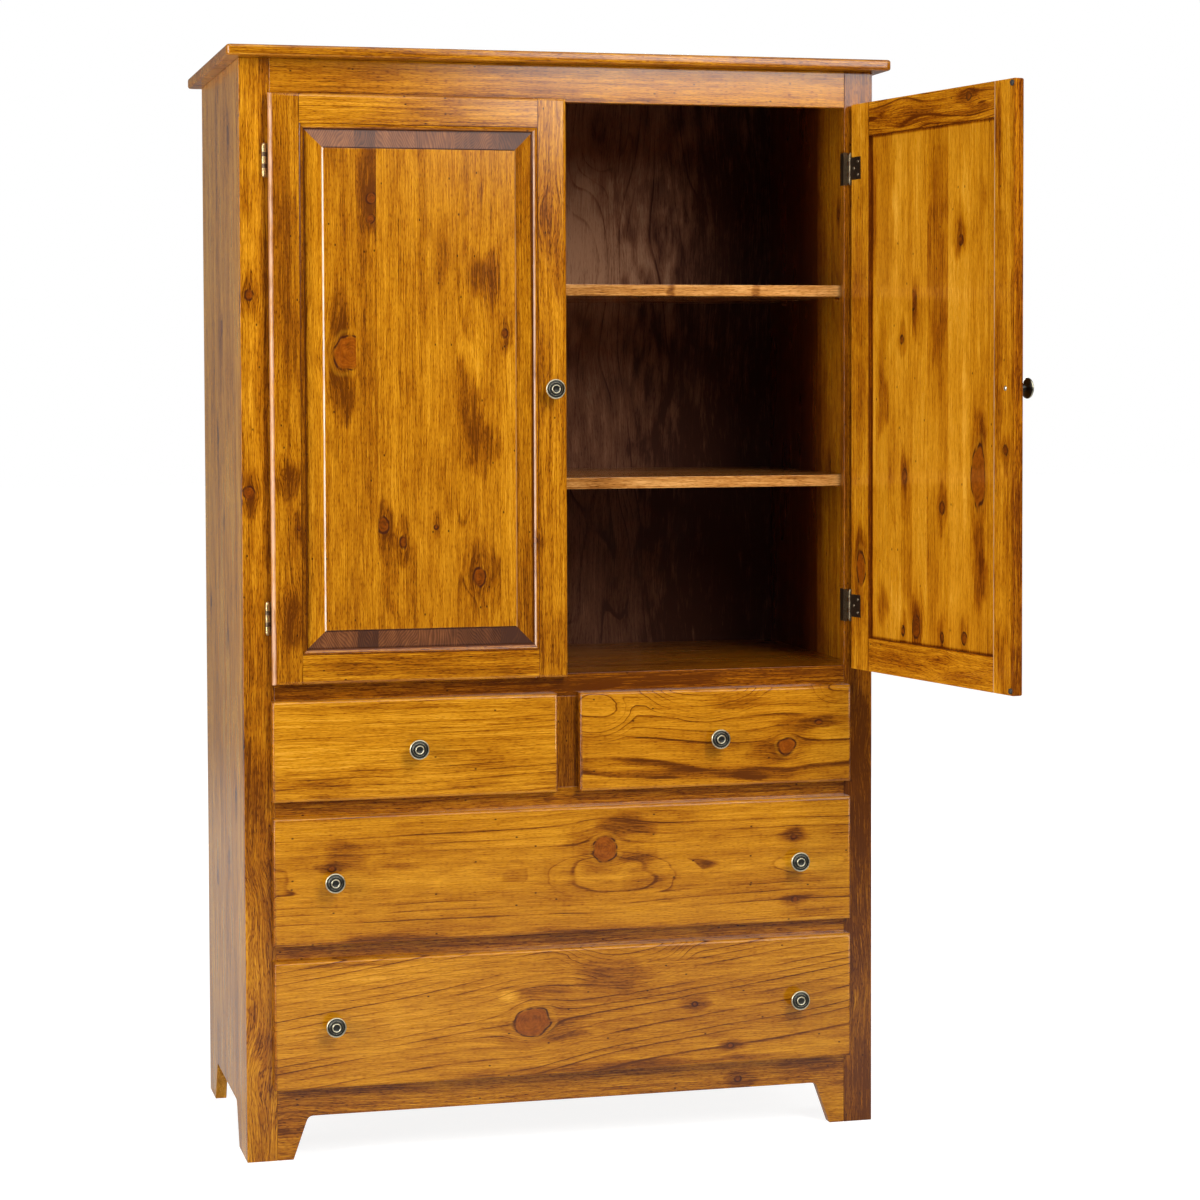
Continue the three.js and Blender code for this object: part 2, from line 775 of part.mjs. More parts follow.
// A drawer hangs in a group at the middle of its opening's lower edge, on the face frame's front.
function build_drawer(name, x, z, opening_width, opening_height, knobs) {
  const drawer = new THREE.Group();
  drawer.position.set(x, 0, z);
  cabinet.add(drawer);
  const width = opening_width - 2 * box_side_clearance;
  const height = opening_height - box_top_clearance;
  const box_front = seam - front_frame_gap;
  place(drawer, `${name}_box`, drawer_box(width, height), drawer_wood, 0, box_front, slip);
  place(drawer, `${name}_bottom`, drawer_bottom(width), drawer_wood, 0, box_front, slip);

  const front_width = opening_width + 2 * front_overlay;
  const front_height = opening_height + 2 * front_overlay;
  const board = eased_board(front_width, front_height, front_thickness, front_edge_radius);
  place(drawer, `${name}_front`, board, pine, -front_width / 2, -front_frame_gap, -front_overlay);
  const face = -front_frame_gap - front_thickness - seam;
  if (knobs === 1) {
    place(drawer, `${name}_knob`, knob(), antique_brass, 0, face, opening_height / 2);
    return;
  }
  const reach = front_width / 2 - long_knob_inset;
  place(drawer, `${name}_left_knob`, knob(), antique_brass, -reach, face, opening_height / 2);
  place(drawer, `${name}_right_knob`, knob(), antique_brass, reach, face, opening_height / 2);
}

const small_centre = (opening_half_width + muntin_width / 2) / 2;
const long_width = 2 * opening_half_width;
build_drawer('left_small_drawer', -small_centre, upper_rail_top, small_opening_width, small_opening_height, 1);
build_drawer('right_small_drawer', small_centre, upper_rail_top, small_opening_width, small_opening_height, 1);
build_drawer('upper_long_drawer', 0, lower_rail_top, long_width, long_opening_height, 2);
build_drawer('lower_long_drawer', 0, bottom_rail_height, long_width, long_opening_height, 2);

// The origin: on the floor, below the middle of everything

const armoire = new THREE.Group();
armoire.add(cabinet);
const bounds = new THREE.Box3().setFromObject(cabinet, true);
const middle = bounds.getCenter(new THREE.Vector3());
cabinet.position.set(-middle.x, -middle.y, -bounds.min.z);

export default armoire;
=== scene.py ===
# Looks of the tv armoire: honey-stained knotty pine under lacquer, antique brass and dark bronze,
# in a plain white studio. Lengths are in metres, and in millimetres where a comment says so.

import json
import math

import bpy
from mathutils import Matrix, Vector


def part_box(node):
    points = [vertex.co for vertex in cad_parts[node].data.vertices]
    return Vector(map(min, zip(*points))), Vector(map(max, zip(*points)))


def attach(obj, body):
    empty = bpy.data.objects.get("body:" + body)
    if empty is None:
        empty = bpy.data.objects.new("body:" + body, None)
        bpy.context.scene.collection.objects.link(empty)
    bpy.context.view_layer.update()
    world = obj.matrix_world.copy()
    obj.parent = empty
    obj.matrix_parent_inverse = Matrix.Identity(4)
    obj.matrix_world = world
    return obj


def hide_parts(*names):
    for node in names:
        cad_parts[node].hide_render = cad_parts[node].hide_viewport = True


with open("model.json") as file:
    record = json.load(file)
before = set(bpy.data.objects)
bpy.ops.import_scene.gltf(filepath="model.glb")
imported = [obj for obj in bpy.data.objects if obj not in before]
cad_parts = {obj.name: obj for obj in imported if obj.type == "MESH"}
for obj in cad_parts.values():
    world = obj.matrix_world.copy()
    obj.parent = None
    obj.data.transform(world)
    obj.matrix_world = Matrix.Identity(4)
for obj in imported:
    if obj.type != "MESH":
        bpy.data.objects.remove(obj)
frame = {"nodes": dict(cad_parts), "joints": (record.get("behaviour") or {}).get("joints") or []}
scene = bpy.context.scene
scene.view_settings.view_transform = "Standard"
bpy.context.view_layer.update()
joints = {joint["name"]: joint for joint in frame["joints"]}
mm = 0.001

# The cabinet's own frame: X is 0 on the centre line, Y is 0 on the front of the face frame.
left_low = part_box("left_stile")[0]
right_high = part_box("right_stile")[1]
cabinet_origin = Vector(((left_low.x + right_high.x) / 2, left_low.y, 0))


def closing(side):
    """The turn that shuts a door from where it stands at rest."""
    joint = joints[side + "_door_hinge"]
    pin = Matrix.Translation(joint["pos_m"])
    turn = Matrix.Rotation(math.radians(joint["range_deg"][0]), 4, Vector(joint["axis"]))
    return pin @ turn @ pin.inverted()


to_cabinet = Matrix.Translation(-cabinet_origin)
shut = {side: to_cabinet @ closing(side) for side in ("left", "right")}


# Node graphs


class Value:
    """A shader value that can stand in a sum: each operator adds a node."""

    def __init__(self, graph, socket):
        self.graph = graph
        self.socket = socket

    def __add__(self, other):
        return self.graph.math("ADD", self, other)

    def __sub__(self, other):
        return self.graph.math("SUBTRACT", self, other)

    def __rsub__(self, other):
        return self.graph.math("SUBTRACT", other, self)

    def __mul__(self, other):
        return self.graph.math("MULTIPLY", self, other)

    def __truediv__(self, other):
        return self.graph.math("DIVIDE", self, other)

    def __rtruediv__(self, other):
        return self.graph.math("DIVIDE", other, self)

    def __gt__(self, other):
        return self.graph.math("GREATER_THAN", self, other)

    def __lt__(self, other):
        return self.graph.math("LESS_THAN", self, other)

    __radd__ = __add__
    __rmul__ = __mul__


class Graph:
    """A node tree, emptied, with short calls for the nodes that it gets."""

    def __init__(self, tree):
        self.nodes = tree.nodes
        self.links = tree.links
        self.nodes.clear()

    def feed(self, socket, value):
        if isinstance(value, Value):
            self.links.new(value.socket, socket)
        else:
            socket.default_value = value

    def add(self, kind, inputs, **settings):
        node = self.nodes.new(kind)
        for name, value in settings.items():
            setattr(node, name, value)
        for key, value in inputs.items():
            self.feed(node.inputs[key], value)
        return node

    def out(self, node, key=0):
        return Value(self, node.outputs[key])

    def math(self, operation, *values):
        node = self.add("ShaderNodeMath", dict(enumerate(values)), operation=operation)
        return self.out(node)

    def vector(self, operation, *values, key=0):
        node = self.add("ShaderNodeVectorMath", dict(enumerate(values)), operation=operation)
        return self.out(node, key)

    def split(self, vector):
        node = self.add("ShaderNodeSeparateXYZ", {0: vector})
        return [self.out(node, key) for key in range(3)]

    def join(self, x, y, z):
        return self.out(self.add("ShaderNodeCombineXYZ", {0: x, 1: y, 2: z}))

    def ramp(self, value, low, high, start=0.0, end=1.0):
        """Runs smoothly from start to end as the value goes from low to high."""
        inputs = {0: value, 1: low, 2: high, 3: start, 4: end}
        node = self.add("ShaderNodeMapRange", inputs, interpolation_type="SMOOTHSTEP")
        return self.out(node)

    def noise(self, vector, detail=2.0, roughness=0.5, key=0):
        inputs = {"Vector": vector, "Scale": 1.0, "Detail": detail, "Roughness": roughness}
        return self.out(self.add("ShaderNodeTexNoise", inputs), key)

    def place(self):
        """Where a point is in its object's own coordinates."""
        return self.out(self.add("ShaderNodeTexCoord", {}), "Object")

    def speckle(self, fineness, detail=2.0):
        """Noise that is the same in every direction, with this many cells in a metre."""
        return self.noise(self.vector("MULTIPLY", self.place(), (fineness,) * 3), detail)

    def random(self, vector):
        node = self.add("ShaderNodeTexWhiteNoise", {"Vector": vector}, noise_dimensions="3D")
        return self.out(node, 1)

    def mix(self, factor, first, second, blend="MIX"):
        node = self.add("ShaderNodeMix", {0: factor}, data_type="RGBA", blend_type=blend)
        self.feed(node.inputs[6], first)
        self.feed(node.inputs[7], second)
        return self.out(node, 2)

    def colours(self, value, stops):
        """Runs through colours, each given with the value where it stands."""
        node = self.add("ShaderNodeValToRGB", {0: value})
        elements = node.color_ramp.elements
        elements[0].position, elements[0].color = stops[0][0], (*stops[0][1], 1)
        elements[1].position, elements[1].color = stops[-1][0], (*stops[-1][1], 1)
        for position, colour in stops[1:-1]:
            elements.new(position).color = (*colour, 1)
        return self.out(node)

    def surface(self, colour, roughness, height=None, bump=0.1 * mm, **settings):
        """The material's shader. Settings go to its own sockets by name."""
        shader = self.add("ShaderNodeBsdfPrincipled", {"Base Color": colour, "Roughness": roughness})
        for name, value in settings.items():
            self.feed(shader.inputs[name.replace("_", " ").title().replace("Ior", "IOR")], value)
        if height is not None:
            inputs = {"Height": height, "Strength": 1.0, "Distance": bump}
            bumps = self.add("ShaderNodeBump", inputs)
            self.links.new(bumps.outputs[0], shader.inputs["Normal"])
        output = self.nodes.new("ShaderNodeOutputMaterial")
        self.links.new(shader.outputs[0], output.inputs[0])


def new_material(name):
    material = bpy.data.materials.new(name)
    material.use_nodes = True
    return material, Graph(material.node_tree)


# Wood. Each board has its own frame in millimetres: along the grain, across it and into the board.

grain_axes = {
    "upright": ((0, 0, 1), (1, 0, 0), (0, 1, 0)),
    "level": ((1, 0, 0), (0, 0, 1), (0, -1, 0)),
    "side": ((0, 0, 1), (0, 1, 0), (-1, 0, 0)),
    "flat": ((1, 0, 0), (0, 1, 0), (0, 0, 1)),
}

honey = (
    (0.00, (0.87, 0.435, 0.048)),
    (0.25, (0.69, 0.302, 0.013)),
    (0.50, (0.51, 0.197, 0.005)),
    (0.75, (0.31, 0.091, 0.002)),
    (1.00, (0.11, 0.026, 0.001)),
)
amber = (
    (0.00, (0.87, 0.428, 0.046)),
    (0.25, (0.70, 0.299, 0.012)),
    (0.50, (0.52, 0.191, 0.004)),
    (0.75, (0.31, 0.080, 0.002)),
    (1.00, (0.11, 0.021, 0.001)),
)
end_grain = ((0.0, (0.27, 0.092, 0.022)), (0.5, (0.14, 0.042, 0.010)), (1.0, (0.06, 0.017, 0.005)))
knot_heart = ((0.0, (0.35, 0.088, 0.004)), (0.5, (0.24, 0.052, 0.002)), (1.0, (0.11, 0.024, 0.002)))
knot_bark = (0.05, 0.012, 0.004, 1)
speck_ink = (0.045, 0.012, 0.003, 1)
large_knot = 12.0
bark_widths = (0.5, 2.2)
speck_cell = (34.0, 20.0)
speck_edge, speck_strength = (0.035, 0.085), 0.9

# Places from a knot's middle, in its own radius: its heart's edge, its bark and the halo round it
heart_edge, bark_place, halo_place, halo_width = (0.82, 1.02), 0.97, 1.22, 0.22

# How far the grain parts round a knot, and how ragged the outlines of the marks are
swirl_reach, swirl_core = 0.66, 0.45
knot_wave, eye_wave, stain_wave = 0.7, 0.2, 1.5
far_off = 1000.0

# Where the late wood of a year's ring starts, darkens and ends
late_start, late_dark, late_end = 0.30, 0.78, 0.93

# Boards lie apart in the noise by their seed, and the strips of one board by their random shift.
seed_steps = (137.0, 71.0, 53.0)
strip_steps = (900.0, 700.0, 500.0)
pith_spread, depth_spread = 160.0, 60.0

# How long and how wide the marks in the wood are, and how strongly they darken it
mark_sizes = {
    "drift": (420.0, 130.0),
    "ripple": (64.0, 22.0),
    "reveal": (150.0, 46.0),
    "cloud": (230.0, 58.0),
    "blotch": (54.0, 16.0),
    "band": (900.0, 6.0),
    "hair": (44.0, 0.9),
    "dash": (8.0, 0.8),
    "wisp": (34.0, 2.2),
    "heart": (9.0, 9.0),
    "bark": (16.0, 10.0),
}
cloud_strength, blotch_strength, band_strength = 0.55, 0.25, 0.56
hair_strength, dash_strength = 1.15, 0.26
middle_tone = 0.645

# Where a door's moulded edge holds stain and painted shade, from its inner edge on
lip = (0.6, 2.6, 0.46)
hollow = (7.4, 9.2, 0.14)
quirk_place, quirk_width, quirk_strength = 8.3, (0.2, 1.3), 0.34
moulded_depth = 12.0
tip_width, tip_strength = (0.5, 5.0), 0.30
grain_relief = 0.05 * mm

# Depth that parts a shut door's front from its back, and where a panel's tongue meets its bevel
door_split = -10.0
tongue_lip = 8.4


def board_frame(graph, grain, place):
    """Coordinates along, across and into the board, in millimetres."""
    turn = Matrix([Vector(axis) for axis in grain_axes[grain]]).to_4x4()
    whole = turn @ place
    inputs = {
        "Vector": graph.place(),
        "Location": whole.to_translation() / mm,
        "Rotation": whole.to_euler(),
        "Scale": Vector((1, 1, 1)) / mm,
    }
    return graph.split(graph.out(graph.add("ShaderNodeMapping", inputs)))


def wood(
    name,
    grain,
    seed,
    place=to_cabinet,
    tone=0.0,
    knots=(),
    eyes=(),
    patches=(),
    strips=(),
    strip_tones=(),
    spacing=4.2,
    pith=0.0,
    depth=70.0,
    slope=0.0,
    wobble=16.0,
    lines=0.16,
    fibre=1.0,
    clouds=1.0,
    specks=0.07,
    palette=honey,
    gloss=0.30,
    glaze=(),
    panel=None,
    tips=(),
    shine=(),
    front_step=0.0,
    facing=(),
    deep=(),
    **settings,
):
    """Knotty pine, in millimetres in the cabinet's frame with its doors shut. Knots are (across,
    along, radius, stretch, swirl, ink). Eyes are swellings of the growth rings, and patches are
    stains, and on some boards painted shade and painted light: (across, along, half width, half
    length, strength). Strips are the places of glue lines, glaze lists the inner edges where stain
    gathers and painted shade darkens the recess: (edge, side of the wood, front), tips are the
    places of the board's ends, and shine lists painted highlights on arrises: (across, half width,
    colour, share, front or back). Front step is how much darker a door's front is than its back,
    whose lighter colour is painted light. Facing keeps the patches to one face of the board:
    (middle, side of it), and deep darkens that face inwards with painted shade: (from, to, strength)."""
    material, g = new_material(name)
    along, across, into = board_frame(g, grain, place)

    # Each glued strip comes from another part of the tree.
    strip = g.math("ADD", 0.0, 0.0) if not strips else (across > strips[0])
    for edge in strips[1:]:
        strip = strip + (across > edge)
    shift = g.random(g.join(strip, float(seed), 0.5))
    shift_a, shift_b, shift_c = g.split(shift)
    offset = g.vector("MULTIPLY", shift, strip_steps)
    offset = g.vector("ADD", offset, [seed * step for step in seed_steps])

    def field(mark, detail=2.0, roughness=0.5, b=across, key=0):
        length, width = mark_sizes[mark]
        point = g.vector("MULTIPLY", g.join(along, b, into), (1 / length, 1 / width, 1 / width))
        return g.noise(g.vector("ADD", point, offset), detail, roughness, key)

    drift = g.split(field("drift", detail=1.0, key=1))
    ripple = g.split(field("ripple", detail=1.0, key=1))
    ripple = [part - 0.5 for part in ripple]
    gates = {}

    def outside(b):
        """Above 0 beyond the glue lines on either side of a place."""
        low = max([edge for edge in strips if edge <= b], default=None)
        high = min([edge for edge in strips if edge > b], default=None)
        if (low, high) not in gates:
            tests = []
            if low is not None:
                tests.append(across < low)
            if high is not None:
                tests.append(across > high)
            gates[low, high] = sum(tests[1:], tests[0]) if tests else None
        return gates[low, high]

    def ellipse(b, a, half_b, half_a, wave):
        """The squared distance from a place, 1 on an ellipse round it."""
        db = g.math("MULTIPLY_ADD", across, 1 / half_b, -b / half_b) + ripple[0] * wave
        da = g.math("MULTIPLY_ADD", along, 1 / half_a, -a / half_a) + ripple[2] * wave
        square = g.math("MULTIPLY_ADD", da, da, db * db)
        beyond = outside(b)
        return square if beyond is None else g.math("MULTIPLY_ADD", beyond, far_off, square)

    # The grain wanders slowly and parts round the knots.
    flow = across + (drift[0] - 0.5) * wobble
    sink = into + (drift[1] - 0.5) * (wobble * 1.6)
    fibres = flow
    distances = []
    for b, a, radius, stretch, swirl, ink in knots:
        square = ellipse(b, a, radius, radius * stretch, knot_wave)
        reach = math.pow(swirl * swirl_reach, 2)
        pull = g.math("MINIMUM", reach / (square + reach * swirl_core), 1.0)
        bend = (across - b) * pull
        flow = flow - bend
        fibres = fibres - bend * 0.5
        distances.append(g.math("SQRT", square))

    # Growth rings round a pith that lies behind the board
    rise = flow - pith + (shift_a - 0.5) * (pith_spread if strips else 0.0) - along * slope
    fall = sink + depth + (shift_b - 0.5) * (depth_spread if strips else 0.0)
    phase = g.math("SQRT", g.math("MULTIPLY_ADD", rise, rise, fall * fall)) / spacing
    for b, a, half_b, half_a, height in eyes:
        swelling = ellipse(b, a, half_b, half_a, eye_wave)
        phase = phase + g.ramp(swelling, 0.0, 1.1, height / spacing, 0.0)
    phase = phase + g.noise(g.join(phase * 0.37, float(seed), 0.0), detail=1.0) * 2.2
    year = g.math("FRACT", phase)
    late = g.ramp(year, late_start, late_end) * g.ramp(year, late_dark, late_end, 0.2, 1.0)
    late = late * g.ramp(year, late_end, 1.0, 1.0, 0.0)
    size = g.noise(g.join(g.math("FLOOR", phase) * 0.71, 0.0, 0.0), detail=1.0)
    reveal = g.ramp(field("reveal"), 0.36, 0.62, 0.3, 1.25)
    rings = late * g.ramp(size, 0.35, 0.65, 0.4, 1.4) * reveal - 0.20

    # Fibres, short dashes and blotches of stain
    clouded = field("cloud")
    blotch = field("blotch", detail=3.0, roughness=0.6)
    band = field("band", b=fibres)
    hair = field("hair", detail=1.0, roughness=0.6, b=fibres)
    dash = g.ramp(field("dash", detail=0.0, b=fibres), 0.52, 0.72)
    wisps = field("wisp", detail=3.0, roughness=0.7, b=fibres)
    dark = (
        (clouded - 0.5) * (clouds * cloud_strength)
        + (blotch - 0.5) * (clouds * blotch_strength)
        + (band - 0.5) * (fibre * band_strength)
        + (hair - 0.5) * (fibre * hair_strength)
        + (dash - 0.25) * (fibre * dash_strength)
        + rings * lines
        + (middle_tone + tone)
    )
    if strip_tones:
        dark = dark + strip_tones[0]
        for edge, low, high in zip(strips, strip_tones[:-1], strip_tones[1:]):
            dark = g.math("MULTIPLY_ADD", across > edge, high - low, dark)
    elif strips:
        dark = dark + (shift_c - 0.5) * 0.16

    # Smears of stain beside the knots, and patches of their own: stains, and on some boards painted shade
    # and painted light
    feathers = wisps * 2.4 - 0.2
    if facing:
        middle, side = facing
        gate = (into - middle) * side > 0.0
        feathers = feathers * gate
    ragged = (wisps - 0.5) * 1.3 + (blotch - 0.5) * 1.6
    stains = [
        (b, a, r * 1.5 + 7.0, r * stretch * 2.6 + 16.0, (0.24 if r > large_knot else 0.32) * ink)
        for b, a, r, stretch, _, ink in knots if ink
    ]
    for b, a, half_b, half_a, strength in [*stains, *patches]:
        spread = ellipse(b, a, half_b, half_a, stain_wave) + ragged
        mask = g.ramp(spread, -0.1, 1.35, strength, 0.0)
        dark = g.math("MULTIPLY_ADD", mask, feathers, dark)

    # Stain gathers in the quirk and the lip of a moulded edge, and painted shade darkens the same recess.
    for edge, side, front in glaze:
        reach = g.math("MULTIPLY", across - edge, side)
        face = (into < -moulded_depth) if front < 0 else (into > moulded_depth)
        inner = g.ramp(reach, *lip, 0.0) + g.ramp(reach, *hollow, 0.0) * face
        from_quirk = g.math("ABSOLUTE", reach - quirk_place)
        dark = dark + inner + g.ramp(from_quirk, *quirk_width, quirk_strength, 0.0) * face

    # Board ends, end grain and rounding alike, are darker: end grain holds more stain, and the rounded
    # ends carry painted shade.
    if tips:
        reach = g.math("MINIMUM", along - tips[0], tips[1] - along)
        dark = dark + g.ramp(reach, *tip_width, tip_strength, 0.0)

    # Painted light: a door's back is kept lighter than its front by this step
    if front_step:
        dark = dark + (into < door_split) * front_step
    # Painted shade: the inner face darkens inwards, where less light reaches
    if deep:
        start, stop, strength = deep
        dark = dark + g.ramp(across, start, stop, 0.0, strength) * gate

    if panel:
        middle_a, middle_b, half_a, half_b, bevel = panel
        to_end = half_a - g.math("ABSOLUTE", along - middle_a)
        to_side = half_b - g.math("ABSOLUTE", across - middle_b)
        border = g.math("MINIMUM", to_end, to_side)
        ends = (to_end < bevel + 1.6) * (to_end < to_side) * (into < door_split)
        # Stain and painted shade: darker next to the frame, where the panel sinks into its groove
        dark = dark + g.ramp(border, tongue_lip, 13.0, 0.46, 0.0)
        # Painted light and shade: the left side bevel lighter, the right one darker, as the light falls
        bevelled = g.ramp(to_side, bevel - 1.0, bevel + 1.0, 1.0, 0.0) * (into < door_split)
        dark = dark + bevelled * g.ramp(across - middle_b, -1.0, 1.0, -0.05, 0.16)

    colour = g.colours(dark, palette)
    if knots:
        swirls = field("heart")
        broken = g.ramp(field("bark", detail=1.0), 0.36, 0.56, 0.25, 1.0)
    for (b, a, radius, stretch, swirl, ink), distance in zip(knots, distances):
        if ink <= 0:
            continue
        paleness = 0.16 if radius > large_knot else 0.0
        from_halo = g.math("ABSOLUTE", distance - halo_place)
        halo = g.ramp(from_halo, 0.0, halo_width, paleness, 0.0) * ink
        colour = g.mix(halo, colour, (*palette[1][1], 1))
        grown = g.math("FRACT", g.math("MULTIPLY_ADD", distance, radius / 4.5, swirls * 1.6))
        lightness = 0.42 if radius > large_knot else 0.1
        heart = g.colours(swirls * 1.4 + grown * 0.35 - lightness, knot_heart)
        colour = g.mix(g.ramp(distance, *heart_edge, 0.92, 0.0), colour, heart)
        inner, outer = (width / radius for width in bark_widths)
        bark = g.ramp(g.math("ABSOLUTE", distance - bark_place), inner, outer, ink * 0.95, 0.0)
        colour = g.mix(bark * broken, colour, knot_bark)

    # Specks and short marks, scattered by cells
    if specks:
        length, width = speck_cell
        scale = (1 / length, 1 / width, 1 / width)
        cells = g.vector("MULTIPLY", g.join(along, across, into), scale)
        cells = g.vector("ADD", cells, offset)
        inputs = {"Vector": cells, "Scale": 1.0, "Randomness": 1.0}
        voronoi = g.add("ShaderNodeTexVoronoi", inputs, voronoi_dimensions="2D")
        chance = g.split(g.out(voronoi, "Color"))
        spot = g.ramp(g.out(voronoi, "Distance"), *speck_edge, speck_strength, 0.0)
        colour = g.mix(spot * (chance[0] < specks), colour, speck_ink)

    # The bevels that cut across the grain at a panel's ends drink more stain. Along the field's step they
    # also carry a dark line, painted shadow with stain; next to the frame, painted shade with stain; and
    # the lower end is darker.
    if panel:
        lean = (across + to_end * ((shift_b - 0.5) * 2.6)) / 4.4 + ripple[0] * 5.0
        hatch = g.ramp(g.math("FRACT", lean), 0.10, 0.85) * 0.36 + (shift_a - 0.5) * 0.8
        # Painted shadow with stain along the field's step
        step = g.ramp(g.math("ABSOLUTE", to_end - bevel), 0.6, 1.8, 0.5, 0.0)
        lower = g.ramp(along - middle_a, -1.0, 1.0, 0.12, 0.0)
        # Painted shade with stain next to the frame
        rim = g.ramp(border, tongue_lip, 12.0, 0.4, 0.0)
        cut = hatch + (blotch - 0.5) * 1.3 + step + lower + rim + 0.47
        colour = g.mix(ends, colour, g.colours(cut, end_grain))

    # Painted highlights: rounded arrises lightened as if catching the light of a bright wall
    for place_b, half, light, share, face in shine:
        near = g.ramp(g.math("ABSOLUTE", across - place_b), half * 0.4, half, share, 0.0)
        near = near * ((into < door_split) if face < 0 else (into > door_split))
        uneven = g.ramp(blotch, 0.34, 0.58, 0.45, 1.0)
        if panel:
            uneven = uneven * (to_end > bevel)
        colour = g.mix(near * uneven, colour, (*light, 1))

    roughness = g.ramp(clouded, 0.3, 0.7, gloss - 0.04, gloss + 0.06)
    height = hair * 0.5 - late * 0.3 - dash * 0.5
    g.surface(colour, roughness, height, bump=grain_relief, **settings)
    return material


# Which board each node is made of


def dress(node, material):
    materials = frame["nodes"][node].data.materials
    materials.clear()
    materials.append(material)


lacquer = {"coat_weight": 0.75, "coat_roughness": 0.10, "specular_ior_level": 0.05}
side_strips = (70.0, 160.0, 235.0, 330.0, 420.0)

top_knots = ((190, -240, 12, 1.2, 2.2, 1), (430, 170, 9, 1.3, 2.2, 1), (330, 430, 7, 1.3, 2.2, 1))

